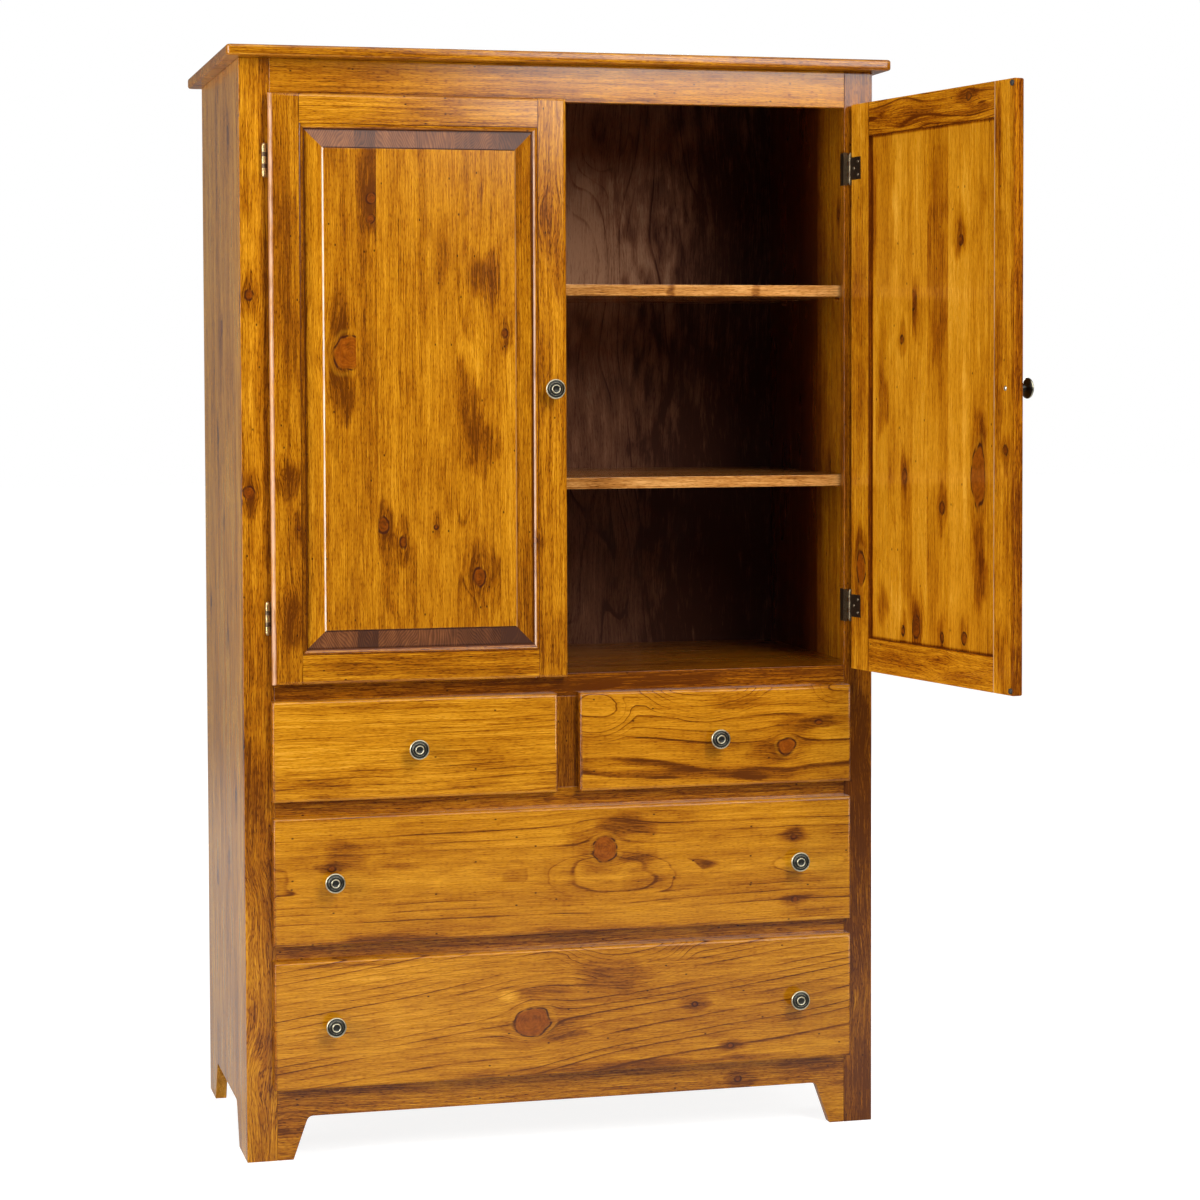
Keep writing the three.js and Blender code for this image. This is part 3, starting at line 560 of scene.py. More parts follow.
boards = {
    "left_stile": dict(
        grain="upright", seed=1, pith=-620.0, spacing=3.6, tone=0.01,
        knots=(
            (-525, 1419, 7, 1.2, 2.6, 1), (-529, 1099, 10, 1.0, 2.6, 1), (-547, 690, 8, 1.5, 2, 1),
            (-480, 500, 22, 1.6, 2.4, 0), (-560, 420, 26, 1.6, 2.2, 0), (-548, 250, 22, 2.0, 2.4, 0),
            (-500, 130, 20, 1.6, 2.4, 0),
        ),
        patches=(
            (-520, 640, 26, 90, 0.20), (-515, 430, 30, 260, 0.20), (-530, 1640, 9, 120, 0.2),
            (-505, 1250, 8, 140, 0.08), (-530, 1250, 10, 90, -0.16), (-520, 60, 30, 80, 0.15),
            # Painted shadow of the left door's edge on the stile
            (-495, 1265, 9, 900, 0.30),
        ),
    ),
    "right_stile": dict(
        grain="upright", seed=2, pith=600.0, spacing=3.6, tone=0.26,
        knots=((555, 640, 20, 1.6, 2.2, 0), (500, 250, 20, 2.0, 2.4, 0)),
        patches=((515, 560, 30, 200, 0.22), (515, 330, 30, 120, 0.12), (515, 60, 30, 90, 0.2)),
    ),
    "top_rail": dict(
        grain="level", seed=3, pith=1700.0, spacing=5.0, tone=-0.02,
        patches=((1775, -330, 14, 60, 0.12), (1770, 250, 12, 120, 0.12), (1762, -60, 8, 90, 0.1),
                 # Painted shade along the rail's lower edge, above the left door and the opening
                 (1746, -250, 6, 420, 0.36)),
    ),
    # The rail under the doors is darker: stain, and painted shade along its top edge below the doors
    "door_rail": dict(
        grain="level", seed=4, pith=730.0, tone=0.30, lines=0.3,
        patches=((770, 40, 14, 60, 0.3), (775, 200, 12, 80, 0.2)),
    ),
    "upper_drawer_rail": dict(grain="level", seed=5, pith=560.0, tone=0.12),
    "lower_drawer_rail": dict(grain="level", seed=6, pith=300.0, tone=0.12),
    "bottom_rail": dict(
        grain="level", seed=7, pith=20.0, tone=0.08,
        knots=((87, 299, 5, 1.2, 2.2, 1), (50, -470, 18, 1.2, 2.4, 0)),
        patches=((100, 420, 22, 70, 0.2), (112, 60, 10, 160, 0.14), (108, -330, 12, 90, 0.14)),
    ),
    "centre_muntin": dict(grain="upright", seed=8, pith=90.0, tone=0.2),
    "top_board": dict(
        grain="flat", seed=9, strips=(60.0, 170.0, 290.0, 400.0), depth=60.0, tone=0.05, knots=top_knots
    ),
    "left_small_drawer_front": dict(
        grain="level", seed=10, pith=560.0, depth=60.0, slope=0.03, spacing=9.0, tone=-0.14, lines=0.28,
        fibre=0.85, clouds=0.8,
        patches=(
            (622, -420, 16, 60, 0.22), (640, -330, 12, 50, 0.14), (640, -120, 22, 60, 0.16),
            (665, -140, 8, 70, 0.16), (612, -150, 8, 60, 0.2), (746, -330, 8, 120, 0.12),
            (600, -380, 5, 70, 0.25), (720, -80, 10, 40, 0.1),
        ),
    ),
    "right_small_drawer_front": dict(
        grain="level", seed=11, pith=640.0, depth=34.0, slope=-0.05, spacing=15.0, lines=0.44, tone=-0.05,
        wobble=16.0, fibre=0.8,
        knots=((657, 380, 15, 1.1, 2.3, 1), (696, 437, 4, 1.6, 2.0, 1)),
        eyes=((775, 235, 74, 125, 78.0), (746, 479, 30, 56, 36.0), (715, 40, 48, 76, 46.0)),
        patches=(
            (690, 400, 22, 40, 0.3), (640, 350, 20, 40, 0.22), (735, 300, 14, 60, 0.24),
            (640, 90, 10, 90, 0.16), (700, 470, 16, 40, 0.2), (610, 250, 8, 160, 0.12),
        ),
    ),
    "upper_long_drawer_front": dict(
        grain="level", seed=12, pith=462.0, depth=34.0, spacing=11.5, tone=-0.06, lines=0.32, wobble=12.0,
        knots=(
            (495, 62, 21, 1.08, 2.0, 1), (394, 395, 5, 1.3, 2.0, 1), (502, 393, 4, 1.3, 2.0, 1),
            (482, -400, 5, 1.3, 2.0, 1),
        ),
        eyes=((464, -310, 34, 210, 14.0), (452, 72, 42, 150, 26.0), (458, 420, 26, 110, 15.0)),
        patches=(
            (464, -310, 15, 190, -0.16), (452, 62, 24, 110, -0.16), (457, 420, 13, 90, -0.2),
            (533, 96, 22, 50, 0.34), (520, 20, 16, 30, 0.2), (473, 122, 18, 34, 0.32),
            (440, 130, 18, 60, 0.2), (505, -380, 26, 40, 0.22), (362, -330, 9, 110, 0.32),
            (362, 60, 7, 170, 0.22),
            (480, 260, 8, 120, 0.14), (540, -200, 14, 160, 0.10), (372, 420, 10, 60, 0.25),
            (535, 260, 18, 60, -0.12), (430, -160, 12, 130, 0.12), (505, 395, 14, 30, 0.2),
        ),
    ),
    "lower_long_drawer_front": dict(
        grain="level", seed=13, pith=90.0, depth=44.0, slope=0.13, spacing=11.5, tone=-0.05, lines=0.42,
        wobble=14.0,
        knots=((211, -64, 25, 1.2, 2.0, 1), (150, 280, 4, 1.2, 2.2, 1), (224, 217, 4, 1.2, 2.2, 1)),
        eyes=((356, 100, 104, 135, 56.0),),
        patches=(
            (256, -103, 9, 24, -0.34), (285, 75, 34, 70, 0.24), (240, 60, 30, 70, 0.16),
            (262, -40, 14, 46, 0.16), (185, -10, 14, 50, 0.18), (128, 20, 8, 300, 0.3),
            (126, 330, 7, 120, 0.2), (322, -360, 6, 60, 0.25), (322, 200, 6, 70, 0.2),
            (230, 250, 60, 200, 0.07), (230, -330, 70, 120, -0.06),
        ),
    ),
}

left_side_knots = (
    (150, 1690, 12, 1.2, 2.2, 1), (255, 1370, 13, 1.1, 2.2, 1), (325, 1185, 10, 1.3, 2.2, 1),
    (240, 1040, 11, 1.1, 2.2, 1), (200, 850, 9, 1.3, 2.2, 1), (440, 890, 8, 1.1, 2.2, 1),
    (110, 590, 10, 1.2, 2.2, 1), (210, 470, 10, 1.2, 2.2, 1), (375, 410, 13, 1.2, 2.2, 1),
)
left_side_patches = (
    (310, 1680, 22, 110, 0.24), (325, 1140, 18, 70, 0.20), (430, 1600, 16, 80, 0.18),
    (345, 700, 16, 160, 0.14), (100, 1290, 22, 140, 0.14), (130, 200, 40, 90, 0.14),
    (380, 110, 34, 60, 0.20),
)
right_side_knots = (
    (120, 1567, 6, 1.3, 2.2, 1), (160, 1125, 8, 1.3, 2.2, 1), (380, 1660, 8, 1.2, 2.2, 1),
    (300, 1400, 12, 1.2, 2.2, 1), (430, 1010, 7, 1.3, 2.2, 1), (90, 830, 7, 1.3, 2.2, 1),
    (395, 700, 11, 1.2, 2.2, 1), (230, 520, 10, 1.2, 2.2, 1), (330, 250, 9, 1.3, 2.2, 1),
)
side_board = dict(grain="side", strips=side_strips, depth=60.0, lines=0.14, specks=0.0)
side_board.update({**lacquer, "coat_weight": 1.0, "coat_roughness": 0.16})
# The right side's inner face: amber colour, stains kept to that face, and painted shade darkening towards
# the back
inner_side = dict(facing=(-530.0, 1.0), deep=(150.0, 300.0, 0.42), palette=amber)

for node, spec in boards.items():
    if node.endswith("_front"):
        low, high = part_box(node)
        spec.setdefault("fibre", 0.72)
        spec["tips"] = ((low.x - cabinet_origin.x) / mm, (high.x - cabinet_origin.x) / mm)
    dress(node, wood(node, **spec, **lacquer))
dress("left_side", wood("left_side", seed=21, tone=-0.14, knots=left_side_knots, clouds=1.5, fibre=1.3,
                         patches=left_side_patches, **side_board))
dress("right_side", wood("right_side", seed=22, tone=0.04, knots=right_side_knots, clouds=1.0, fibre=0.95,
                          **inner_side, **side_board))

# Doors: one description for both, with each its own knots

door_knots = {
    "left": {
        "raised_panel": (
            (-363, 1326, 28, 1.05, 1.9, 1), (-329, 1577, 8, 1.2, 2.2, 1), (-330, 1543, 7, 1.0, 2.2, 1),
            (-108, 1358, 6, 1.2, 2.2, 1), (-152, 956, 10, 1.6, 2.4, 1), (-279, 1016, 6, 1.7, 2.4, 1),
            (-312, 1043, 9, 1.6, 2.4, 1), (-224, 1039, 3.5, 1.0, 2.2, 1), (-124, 1453, 12, 2.4, 2.2, 0),
        ),
        "hinge_stile": (
            (-469, 1141, 10, 1.2, 2.6, 0), (-472, 923, 12, 1.4, 2.4, 0), (-450, 1042, 3, 1.2, 2.4, 1),
        ),
        "meeting_stile": ((-57, 1015, 4, 1.3, 2.4, 1), (-31, 1552, 14, 2.0, 2.2, 0)),
        "top_rail": (),
        "bottom_rail": (),
    },
    "right": {
        "raised_panel": (
            (306, 1410, 10, 1.6, 2.4, 1), (342, 1345, 5, 1.4, 2.0, 1), (163, 1502, 6, 1.4, 2.4, 1),
            (218, 1070, 7, 1.5, 2.4, 1), (333, 1119, 7, 1.8, 2.2, 1), (112, 1125, 19, 2.6, 1.9, 1),
            (296, 872, 12, 1.6, 2.2, 1), (217, 860, 5, 1.6, 2.2, 1), (152, 862, 8, 1.3, 2.2, 1),
            (338, 862, 5, 1.6, 2.2, 1),
        ),
        "hinge_stile": ((462, 961, 14, 2.2, 2.0, 1),),
        "meeting_stile": ((25, 1168, 6, 1.4, 2.2, 1),),
        "top_rail": ((1728, 132, 6, 1.2, 2.6, 1), (1715, 330, 16, 1.8, 2.2, 0)),
        "bottom_rail": ((818, 212, 14, 1.4, 2.4, 0),),
    },
}
door_patches = {
    "left": {
        "raised_panel": (
            (-337, 1620, 20, 60, 0.26), (-344, 1500, 14, 90, 0.16), (-132, 1448, 34, 46, 0.32),
            (-165, 1450, 24, 60, 0.14), (-150, 1172, 36, 46, 0.32), (-166, 1232, 22, 44, 0.30),
            (-180, 1290, 12, 40, 0.28),
            (-160, 1320, 26, 40, -0.2), (-380, 1270, 22, 60, 0.26), (-380, 1380, 18, 50, 0.24),
            (-245, 1500, 12, 190, 0.2), (-300, 980, 14, 90, 0.28), (-120, 940, 20, 60, 0.26),
            (-262, 960, 12, 110, 0.2), (-205, 1090, 12, 60, 0.2), (-210, 1480, 14, 60, 0.16),
            (-392, 1050, 8, 160, -0.14), (-390, 1560, 10, 90, -0.12), (-290, 1300, 16, 200, -0.06),
            (-225, 1300, 18, 160, -0.06), (-250, 1180, 10, 170, 0.10), (-100, 1180, 8, 200, -0.10),
        ),
        "hinge_stile": (
            (-470, 1120, 26, 40, 0.34), (-465, 900, 26, 60, 0.30), (-470, 1300, 20, 120, 0.12),
            (-470, 1500, 14, 160, 0.14), (-452, 1620, 8, 80, -0.14), (-455, 1230, 10, 50, -0.16),
        ),
        "meeting_stile": (
            (-30, 1540, 22, 60, 0.16), (-18, 1460, 12, 60, 0.16), (-30, 850, 26, 60, 0.14),
            (-30, 1100, 16, 120, 0.08),
        ),
        "top_rail": ((1718, -240, 16, 80, 0.12), (1700, -130, 8, 90, 0.12)),
        "bottom_rail": ((812, -370, 16, 60, 0.16), (800, -180, 10, 120, 0.14), (828, -100, 8, 60, 0.14)),
    },
    "right": {
        "raised_panel": (
            (440, 1250, 7, 900, 0.30), (84, 1250, 5, 900, 0.16), (350, 1250, 26, 900, -0.10),
            (233, 1590, 34, 110, 0.24), (233, 1440, 34, 150, 0.20), (232, 1300, 24, 110, 0.12),
            (165, 1520, 30, 50, 0.26), (300, 1390, 26, 50, 0.26), (405, 1330, 14, 90, 0.24),
            (400, 1240, 22, 60, 0.34), (430, 1560, 10, 100, 0.30), (110, 1000, 24, 100, 0.34),
            (110, 1190, 22, 46, 0.20), (330, 1090, 22, 60, 0.26), (320, 960, 26, 90, 0.22),
            (300, 880, 34, 40, 0.24), (402, 900, 16, 40, 0.36), (90, 1480, 12, 140, -0.12),
            (300, 1250, 60, 900, 0.04), (150, 1200, 12, 160, -0.16), (290, 1600, 14, 110, -0.12),
            (360, 1560, 14, 130, -0.16),
            (430, 1200, 6, 130, -0.20), (245, 1200, 26, 120, -0.10), (380, 1150, 20, 60, 0.16),
        ),
        "hinge_stile": (
            (470, 1500, 20, 160, 0.16), (470, 1200, 20, 120, 0.14), (465, 1010, 18, 40, 0.2),
            (470, 880, 20, 40, 0.16),
        ),
        "meeting_stile": (
            (2, 1265, 9, 1500, 0.34), (45, 1640, 12, 110, 0.40), (40, 1500, 14, 80, 0.2),
            (45, 1300, 12, 120, 0.16), (20, 1000, 14, 120, 0.2), (15, 1200, 8, 120, 0.16),
            (30, 850, 20, 60, 0.2),
        ),
        "top_rail": (
            (1715, 250, 40, 500, 0.10), (1715, 300, 22, 110, 0.2), (1705, 110, 12, 50, 0.24),
            (1725, 400, 16, 50, 0.24),
        ),
        "bottom_rail": ((812, 350, 18, 80, 0.14), (800, 150, 14, 60, 0.18), (825, 230, 10, 60, 0.2)),
    },
}
panel_strips = {
    "left": (-354.6, -319.9, -255.3, -188.6, -114.6),
    "right": (85.0, 136.0, 201.0, 265.0, 310.0, 384.0),
}
panel_tones = {
    "left": (0.04, 0.05, -0.05, -0.07, 0.02, -0.07),
    "right": (0.08, 0.02, -0.08, 0.07, -0.06, 0.02, 0.05),
}
member_grain = {
    "hinge_stile": "upright", "meeting_stile": "upright", "raised_panel": "upright",
    "top_rail": "level", "bottom_rail": "level",
}
# The right door's members are lighter, and the front step takes their fronts darker again: their lighter
# backs are painted light
member_tone = {
    ("left", "hinge_stile"): 0.08, ("left", "meeting_stile"): 0.0, ("left", "raised_panel"): 0.0,
    ("left", "bottom_rail"): 0.02, ("left", "top_rail"): -0.02,
    ("right", "hinge_stile"): -0.10, ("right", "meeting_stile"): -0.15, ("right", "raised_panel"): -0.20,
    ("right", "top_rail"): 0.02, ("right", "bottom_rail"): -0.07,
}
panel_bevel = 28
panel_margin = 9.2
door_member = 57


def box_in_cabinet(node, place):
    """A piece's box in the cabinet's frame, given the matrix that takes it there."""
    points = [place @ vertex.co for vertex in frame["nodes"][node].data.vertices]
    low = Vector([min(point[axis] for point in points) for axis in range(3)])
    high = Vector([max(point[axis] for point in points) for axis in range(3)])
    return low, high


def inner_edge(member, low, high):
    """Where a frame member's moulded edge is, and on which side of it the wood lies."""
    if member == "top_rail":
        return high.z / mm - door_member, 1.0, 1
    if member == "bottom_rail":
        return low.z / mm + door_member, -1.0, 1
    middle = (low.x + high.x) / 2
    outer_low = (member == "hinge_stile") == (middle < 0)
    if outer_low:
        return low.x / mm + door_member, -1.0, -1
    return high.x / mm - door_member, 1.0, -1


for side, seed in (("left", 30), ("right", 40)):
    for member, grain in member_grain.items():
        seed += 1
        node = f"{side}_door_{member}"
        low, high = box_in_cabinet(node, shut[side])
        centre = (low + high) / 2 / mm
        spec = dict(
            grain=grain,
            seed=seed,
            place=shut[side],
            knots=door_knots[side][member],
            patches=door_patches[side][member],
            tone=member_tone[side, member],
            pith=(centre.x if grain == "upright" else centre.z) + 60.0,
        )
        if member == "raised_panel":
            half = (high - low) / 2 / mm
            spec["fibre"] = 0.90 if side == "left" else 0.75
            spec["strips"] = panel_strips[side]
            spec["strip_tones"] = panel_tones[side]
            reach = panel_bevel + panel_margin
            spec["panel"] = (centre.z, centre.x, half.z, half.x, reach)
        else:
            spec["glaze"] = (inner_edge(member, low, high),)
        # Painted highlights along the left door's arrises that face the bright left side
        if side == "left" and member == "raised_panel":
            field_edge = low.x / mm + reach
            spec["shine"] = ((field_edge + 0.6, 1.7, (1.0, 0.82, 0.60), 0.55, -1),
                             (high.x / mm - reach - 0.4, 1.6, (0.95, 0.60, 0.25), 0.3, -1))
        if side == "left" and member == "meeting_stile":
            spec["shine"] = ((high.x / mm - door_member + 2.6, 1.8, (0.95, 0.62, 0.38), 0.5, -1),)
        if side == "left" and member == "hinge_stile":
            spec["shine"] = ((low.x / mm + 2.0, 4.2, (0.92, 0.56, 0.36), 0.5, -1),)
        if side == "right":
            spec["palette"] = amber
            # Painted light: the back of the right door stays lighter than its front
            spec["front_step"] = 0.15 if member == "raised_panel" else 0.08
            if member.endswith("stile"):
                spec["clouds"] = 1.4
            if member == "meeting_stile":
                # Painted highlight along an arris on the right door's back
                spec["shine"] = ((low.x / mm + door_member - 0.8, 1.6, (0.90, 0.62, 0.36), 0.5, 1),)
            if member == "top_rail":
                spec.update(lines=0.8, spacing=8.0, wobble=50.0, pith=1712.0, depth=20.0)
        dress(node, wood(node, **spec, **lacquer))

# Inside: the deck, the shelves and the back are darker, and the back carries painted shade and painted
# light

inside_look = dict(grain="flat", specks=0.05, tone=0.16, clouds=0.9, fibre=0.9, **lacquer)
deck_strips = (90.0, 200.0, 310.0, 400.0)
dress("cabinet_deck", wood("cabinet_deck", seed=51, strips=deck_strips, **inside_look))
pale = (
    (0.0, (0.88, 0.50, 0.190)), (0.35, (0.66, 0.33, 0.095)), (0.65, (0.42, 0.165, 0.03)),
    (1.0, (0.13, 0.036, 0.006)),
)
shelf_front = ((22, 0, 4, 1400, -0.22),)
for node, seed, marks in (
    ("upper_shelf", 52, ((22, 190, 4, 9, 0.36), (22, 340, 4, 8, 0.32))),
    ("lower_shelf", 53, ((22, 60, 5, 40, 0.16),)),
):
    dress(node, wood(node, seed=seed, patches=shelf_front + marks, palette=pale, **inside_look))
back_low, back_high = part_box("back_panel")
back_middle = ((back_low.y + back_high.y) / 2 - cabinet_origin.y) / mm
veneer = (
    (0.0, (0.44, 0.235, 0.130)), (0.5, (0.21, 0.090, 0.047)), (1.0, (0.055, 0.017, 0.009)),
)
dress(
    "back_panel",
    wood("back_panel", "upright", 54, depth=9.0, wobble=80.0, spacing=9.0, lines=0.30, tone=-0.18,
         fibre=0.7, facing=(back_middle, -1.0),
         # On the back's inner face: painted shade, darkest on the right and over the lower bays, and
         # painted light in the upper left
         patches=((500, 1250, 230, 1500, 0.6), (230, 930, 420, 400, 0.34), (140, 1500, 170, 140, -0.38)),
         specks=0.0, palette=veneer, gloss=0.5, specular_ior_level=0.16),
)

plain = (
    (0.0, (0.72, 0.52, 0.29)), (0.5, (0.58, 0.38, 0.18)), (1.0, (0.36, 0.20, 0.08)),
)
for seed, bay in enumerate(("small_drawer", "upper_long_drawer", "lower_long_drawer")):
    node = bay + "_runner_frame"
    dress(node, wood(node, "flat", 60 + seed, palette=plain, specks=0.04, specular_ior_level=0.3))
for seed, drawer in enumerate(("left_small", "right_small", "upper_long", "lower_long")):
    node = drawer + "_drawer_box"
    dress(node, wood(node, "side", 70 + seed, palette=plain, specks=0.04, specular_ior_level=0.3))
    node = drawer + "_drawer_bottom"
    dress(node, wood(node, "flat", 80 + seed, palette=plain, depth=8.0, wobble=50.0, specks=0.0,
                     specular_ior_level=0.3))


# Metal and rubber


def metal(name, bright, dark, roughness):
    """Metal under an uneven patina."""
    material, g = new_material(name)
    patina = g.speckle(900.0, detail=3.0)
    colour = g.mix(g.ramp(patina, 0.35, 0.65), (*bright, 1), (*dark, 1))
    g.surface(colour, g.ramp(patina, 0.3, 0.7, roughness, roughness + 0.15), metallic=1.0)
    return material


# Lit and shaded copies of one brass: the brighter copy on the left frame leaves is painted light, the
# darker copy on the right frame leaves painted shade
brass = metal("antique_brass", (0.55, 0.41, 0.19), (0.20, 0.13, 0.06), 0.25)
shaded_brass = metal("shaded_brass", (0.22, 0.17, 0.10), (0.09, 0.065, 0.045), 0.32)
bronze = metal("dark_bronze", (0.16, 0.11, 0.07), (0.05, 0.035, 0.025), 0.35)


def rubber_material():
    material, g = new_material("dark_rubber")
    grain = g.speckle(1500.0)
    colour = g.mix(grain, (0.018, 0.014, 0.012, 1), (0.035, 0.028, 0.024, 1))
    g.surface(colour, 0.6, grain, bump=grain_relief)
    return material


rubber = rubber_material()
for node in frame["nodes"]:
    if node.endswith("_knob") or (node.endswith("_frame_leaf") and node.startswith("left")):
        dress(node, brass)
    # Painted shade: the right frame leaves take the darker copy of the brass
    if node.endswith("_frame_leaf") and node.startswith("right"):
        dress(node, shaded_brass)
    if node.endswith("_door_leaf"):
        dress(node, bronze)
    if node.endswith("_bumper"):
        dress(node, rubber)

# Arrises: every sharp edge is eased, and only what is round is shaded round

wood_arris, metal_arris = 0.8 * mm, 0.15 * mm
usual_angle, panel_angle = 50, 20


def ease(piece, width, angle):
    piece.data.polygons.foreach_set("use_smooth", [angle > panel_angle] * len(piece.data.polygons))
    weld = piece.modifiers.new("weld", "WELD")
    weld.merge_threshold = 0.01 * mm
    bevel = piece.modifiers.new("arris", "BEVEL")
    bevel.width = width
    bevel.segments = 2
    bevel.limit_method = "ANGLE"
    bevel.angle_limit = math.radians(angle)
    bevel.use_clamp_overlap = True
    weighted = piece.modifiers.new("flat", "WEIGHTED_NORMAL")
    weighted.keep_sharp = True


for node, piece in frame["nodes"].items():
    is_wood = not node.endswith(("_leaf", "_knob", "_bumper"))
    angle = panel_angle if node.endswith("raised_panel") else usual_angle
    ease(piece, wood_arris if is_wood else metal_arris, angle)


# Turned pieces. A profile lists (share of the radius, share of the height, brightness).

knob_profile = (
    (0.00, 0.000, 0), (0.50, 0.000, 0), (0.52, 0.020, 0), (0.52, 0.050, 0), (0.46, 0.080, 0),
    (0.38, 0.120, 0), (0.33, 0.200, 0), (0.31, 0.300, 0), (0.33, 0.400, 0), (0.40, 0.500, 0),
    (0.55, 0.580, 0), (0.74, 0.650, 0), (0.90, 0.710, 0), (0.975, 0.755, 0.3), (1.0, 0.790, 1),
    (1.0, 0.825, 1), (0.975, 0.855, 1), (0.935, 0.872, 1), (0.895, 0.872, 0.7), (0.865, 0.855, 0),
    (0.845, 0.835, 0), (0.80, 0.838, 0), (0.72, 0.868, 0), (0.69, 0.885, 0.1), (0.665, 0.898, 0.45),
    (0.63, 0.900, 0.45), (0.605, 0.888, 0.1), (0.58, 0.872, 0), (0.54, 0.868, 0), (0.50, 0.875, 0),
    (0.475, 0.900, 0), (0.465, 0.940, 0.2), (0.45, 0.975, 1), (0.42, 0.995, 1), (0.385, 1.000, 1),
    (0.35, 0.990, 0.8), (0.32, 0.970, 0), (0.29, 0.945, 0), (0.20, 0.935, 0), (0.00, 0.930, 0),
)
screw_profile = (
    (0.00, 0.0, 0), (1.00, 0.0, 0), (1.00, 0.25, 1), (0.86, 0.62, 1), (0.62, 0.90, 1), (0.42, 1.0, 1),
    (0.34, 0.95, 0.3), (0.26, 0.45, 0), (0.00, 0.25, 0),
)


def turned(name, profile, radius, height, matrix, segments=96):
    """A piece turned round its own Z axis and placed by a matrix, with its brightness in a layer."""
    points = []
    shines = []
    faces = []
    for share, rise, shine in profile:
        for step in range(segments):
            angle = 2 * math.pi * step / segments
            flat = Vector((math.cos(angle), math.sin(angle), 0)) * max(share, 0.001) * radius
            points.append(matrix @ (flat + Vector((0, 0, rise * height))))
            shines.append(float(shine))
    for ring in range(len(profile) - 1):
        for step in range(segments):
            after = (step + 1) % segments
            near, far = ring * segments, (ring + 1) * segments
            faces.append((near + step, near + after, far + after, far + step))
    mesh = bpy.data.meshes.new(name)
    mesh.from_pydata(points, [], faces)
    mesh.polygons.foreach_set("use_smooth", [True] * len(faces))
    layer = mesh.attributes.new("brightness", "FLOAT", "POINT")
    layer.data.foreach_set("value", shines)
    piece = bpy.data.objects.new(name, mesh)
    scene.collection.objects.link(piece)
    return piece


def turned_metal(name, bright, dark, roughness):
    """Dark metal, rubbed bright where the piece's own layer says so."""
    material, g = new_material(name)
    patina = g.speckle(700.0, detail=3.0)
    layer = g.out(g.add("ShaderNodeAttribute", {}, attribute_name="brightness"), "Fac")
    worn = g.ramp(layer + (patina - 0.5) * 0.7, 0.25, 0.85)
    colour = g.mix(worn, (*dark, 1), (*bright, 1))
    g.surface(colour, g.ramp(patina, 0.3, 0.7, roughness, roughness + 0.12), metallic=1.0)
    return material


gunmetal = turned_metal("antique_gunmetal", (0.58, 0.53, 0.37), (0.050, 0.050, 0.044), 0.28)
bronze_screw = turned_metal("bronze_screw", (0.22, 0.17, 0.11), (0.05, 0.04, 0.03), 0.32)
steel = turned_metal("screw_steel", (0.62, 0.58, 0.50), (0.10, 0.09, 0.08), 0.30)
body_of_knob = {
    "left_door_knob": "left_door",
    "right_door_knob": "right_door",
    "left_small_drawer_knob": "left_small_drawer",
    "right_small_drawer_knob": "right_small_drawer",
    "upper_long_drawer_left_knob": "upper_long_drawer",
    "upper_long_drawer_right_knob": "upper_long_drawer",
    "lower_long_drawer_left_knob": "lower_long_drawer",
    "lower_long_drawer_right_knob": "lower_long_drawer",
}

outwards = Matrix.Rotation(math.radians(90), 4, "X")
inwards = Matrix.Rotation(math.radians(-90), 4, "X")
screw_radius, screw_height = 3.2 * mm, 1.0 * mm
knob_screw_radius, knob_screw_height = 4.0 * mm, 1.6 * mm
knob_inset = 0.3 * mm
door_back = -3.2 * mm


def add_turned(name, profile, radius, height, place, body, material):
    piece = turned(name, profile, radius, height, place)
    piece.data.materials.append(material)
    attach(piece, body)
    return piece


for node, body in body_of_knob.items():
    place = shut[body.split("_")[0]] if body.endswith("_door") else to_cabinet
    low, high = box_in_cabinet(node, place)
    back = Vector(((low.x + high.x) / 2, high.y, (low.z + high.z) / 2))
    home = place.inverted() @ Matrix.Translation(back) @ outwards
    radius, height = (high.x - low.x) / 2, high.y - low.y - knob_inset
    knob = add_turned(
        "turned_" + node, knob_profile, radius, height, home, body, gunmetal
    )
    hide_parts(node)
    if body.endswith("_door"):
        back.y = door_back
        home = place.inverted() @ Matrix.Translation(back) @ inwards
        add_turned(
            body + "_knob_screw", screw_profile, knob_screw_radius, knob_screw_height, home, body,
            steel,
        )

# Three screws in each door leaf: how far from the hinge pin and how far above its middle

leaf_screws = ((15, 0), (28, 11), (28, -11))
leaf_face = -1.9 * mm
pin_place = 500
for side, sign in (("left", -1), ("right", 1)):
    for level in ("upper", "lower"):
        low, high = box_in_cabinet(f"{side}_{level}_hinge_door_leaf", shut[side])
        middle = (low.z + high.z) / 2
        for number, (inset, rise) in enumerate(leaf_screws):
            spot = Vector((sign * (pin_place - inset) * mm, leaf_face, middle + rise * mm))
            home = shut[side].inverted() @ Matrix.Translation(spot) @ inwards
            add_turned(
                f"{side}_{level}_leaf_screw_{number}", screw_profile, screw_radius, screw_height, home,
                side + "_door", bronze_screw,
            )


# The studio: soft lamps high in front, at the left, at the right and behind, and a white floor


def choose_by_ray(g, seen, reflected, lighting):
    """A value for the camera's rays, one for glossy and transmitted rays and one for the rest."""
    path = g.add("ShaderNodeLightPath", {})
    mirrored = g.math("MAXIMUM", g.out(path, "Is Glossy Ray"), g.out(path, "Is Transmission Ray"))
    value = mirrored * reflected + (1.0 - mirrored) * lighting
    direct = g.out(path, "Is Camera Ray")
    return direct * seen + (1.0 - direct) * value


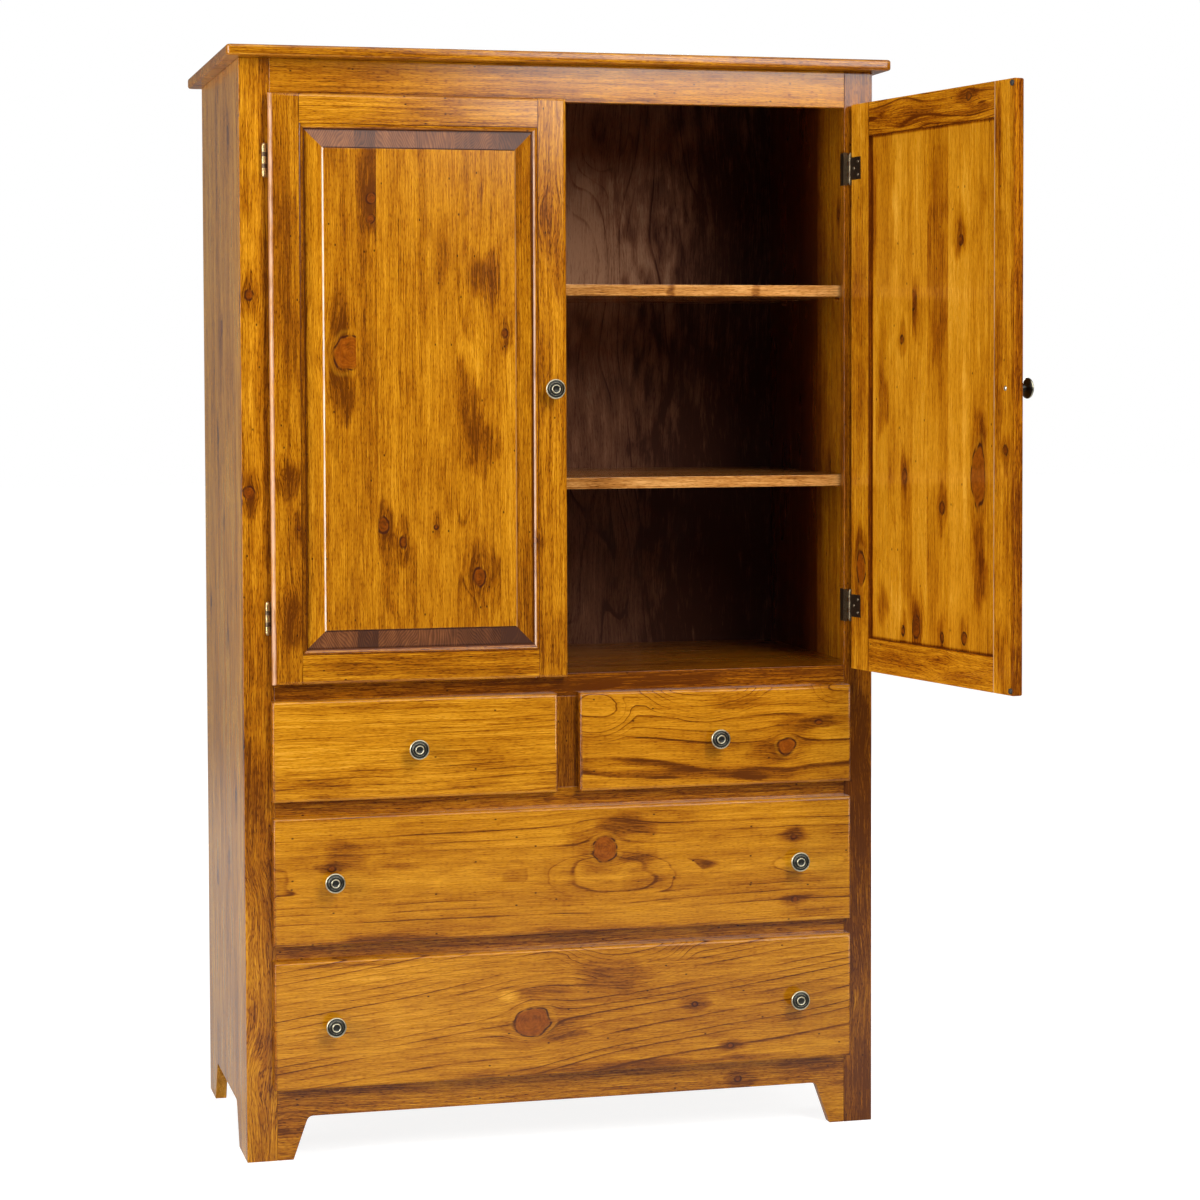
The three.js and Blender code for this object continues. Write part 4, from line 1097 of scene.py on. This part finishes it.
def floor():
    """A floor that shows white, with the object's shadow; to reflections it glows dimly, brighter near
    the object: a painted pool of light.
    """
    size = 30.0
    corners = [(-size, -size, 0), (size, -size, 0), (size, size, 0), (-size, size, 0)]
    mesh = bpy.data.meshes.new("floor")
    mesh.from_pydata(corners, [], [(0, 1, 2, 3)])
    piece = bpy.data.objects.new("floor", mesh)
    scene.collection.objects.link(piece)
    material, g = new_material("white_floor")
    where = g.place()
    distance = g.vector("LENGTH", where, key=1)
    # Painted light: the glow that reflections see, brighter in front of and near the object
    before = g.ramp(distance, 0.9, 2.8, 0.36, 0.02)
    behind = g.ramp(distance, 1.0, 6.0, 0.13, 0.14)
    side = g.ramp(g.split(where)[1], -0.4, 0.4)
    mirrored = before + (behind - before) * side
    seen = g.ramp(distance, 1.5, 4.0, 0.88, 1.0)
    glow = g.add("ShaderNodeEmission", {"Strength": choose_by_ray(g, seen, mirrored, 0.0)})
    matt = g.add("ShaderNodeBsdfDiffuse", {"Color": g.join(*[choose_by_ray(g, 0.3, 0.3, 0.75)] * 3)})
    both = g.nodes.new("ShaderNodeAddShader")
    g.links.new(glow.outputs[0], both.inputs[0])
    g.links.new(matt.outputs[0], both.inputs[1])
    output = g.nodes.new("ShaderNodeOutputMaterial")
    g.links.new(both.outputs[0], output.inputs[0])
    mesh.materials.append(material)


low_wall_light, high_wall_light = 7.5, 2.8


def studio_world():
    """White all round, with a bright wall in front that only reflections show."""
    world = bpy.data.worlds.new("studio")
    world.use_nodes = True
    scene.world = world
    g = Graph(world.node_tree)
    heading = g.split(g.out(g.add("ShaderNodeTexCoord", {}), "Generated"))
    ahead = g.math("MAXIMUM", 0.0 - heading[1], 0.001)
    slope_x, slope_z = heading[0] / ahead, heading[2] / ahead
    left, right, bottom, top = (0.185, 0.235), (0.38, 0.46), (0.074, 0.10), (0.26, 0.36)
    beside = g.ramp(slope_x, *left) * g.ramp(slope_x, *right, 1.0, 0.0) * g.ramp(slope_z, *bottom)
    low_wall = beside * g.ramp(slope_z, *top, low_wall_light, 0.0)
    in_front = g.ramp(heading[1], -0.5, -0.2, 1.0, 0.0)
    high_wall = g.ramp(slope_z, *top, 0.0, high_wall_light) * in_front
    mirrored = g.ramp(heading[1], -0.3, 0.7, 0.02, 0.14) + low_wall + high_wall
    back = g.add("ShaderNodeBackground", {"Strength": choose_by_ray(g, 1.0, mirrored, 0.05)})
    output = g.nodes.new("ShaderNodeOutputWorld")
    g.links.new(back.outputs[0], output.inputs[0])
    back.inputs["Color"].default_value = (1, 1, 1, 1)


def lamp(name, place, target, size, power, mirrored=True):
    light = bpy.data.lights.new(name, "AREA")
    light.shape = "RECTANGLE"
    light.size, light.size_y = size
    light.energy = power
    piece = bpy.data.objects.new(name, light)
    piece.location = place
    piece.rotation_euler = (Vector(target) - Vector(place)).to_track_quat("-Z", "Y").to_euler()
    piece.visible_camera = False
    piece.visible_glossy = mirrored
    scene.collection.objects.link(piece)


floor()
studio_world()
lamp("key", (0.95, -2.5, 2.92), (0.0, 0.0, 0.9), (1.0, 2.3), 96, mirrored=False)
lamp("fill", (-2.9, -1.4, 1.5), (0.1, 0.0, 1.2), (0.9, 2.2), 58)
lamp("strip", (-3.2, -0.57, 1.3), (-0.2, 0.0, 1.2), (0.6, 2.4), 42)
lamp("back", (1.2, 4.2, 2.4), (0.0, 0.3, 0.9), (1.5, 1.5), 110)
lamp("side", (3.4, 0.9, 1.6), (0.5, 0.1, 1.0), (0.9, 2.2), 50, mirrored=False)

# The camera, from the photograph's perspective. The picture is 1200 pixels wide.

picture = 1200
focal_pixels = 2906.2
frame_drop_pixels = 100
yaw, pitch, roll = math.radians(14.225), math.radians(2.432), math.radians(-0.186)
camera_place = cabinet_origin + Vector((-1.1345, -4.7101, 1.2856))

ahead = Vector((math.sin(yaw) * math.cos(pitch), math.cos(yaw) * math.cos(pitch), -math.sin(pitch)))
level_right = Vector((math.cos(yaw), -math.sin(yaw), 0))
level_up = level_right.cross(ahead)
right = level_right * math.cos(roll) + level_up * math.sin(roll)
up = level_up * math.cos(roll) - level_right * math.sin(roll)
camera_data = bpy.data.cameras.new("camera")
camera_data.sensor_width = 36
camera_data.lens = focal_pixels / picture * camera_data.sensor_width
camera_data.shift_y = -frame_drop_pixels / picture
camera = bpy.data.objects.new("camera", camera_data)
aim = Matrix((right, up, -ahead)).transposed().to_4x4()
camera.matrix_world = Matrix.Translation(camera_place) @ aim
scene.collection.objects.link(camera)
scene.camera = camera
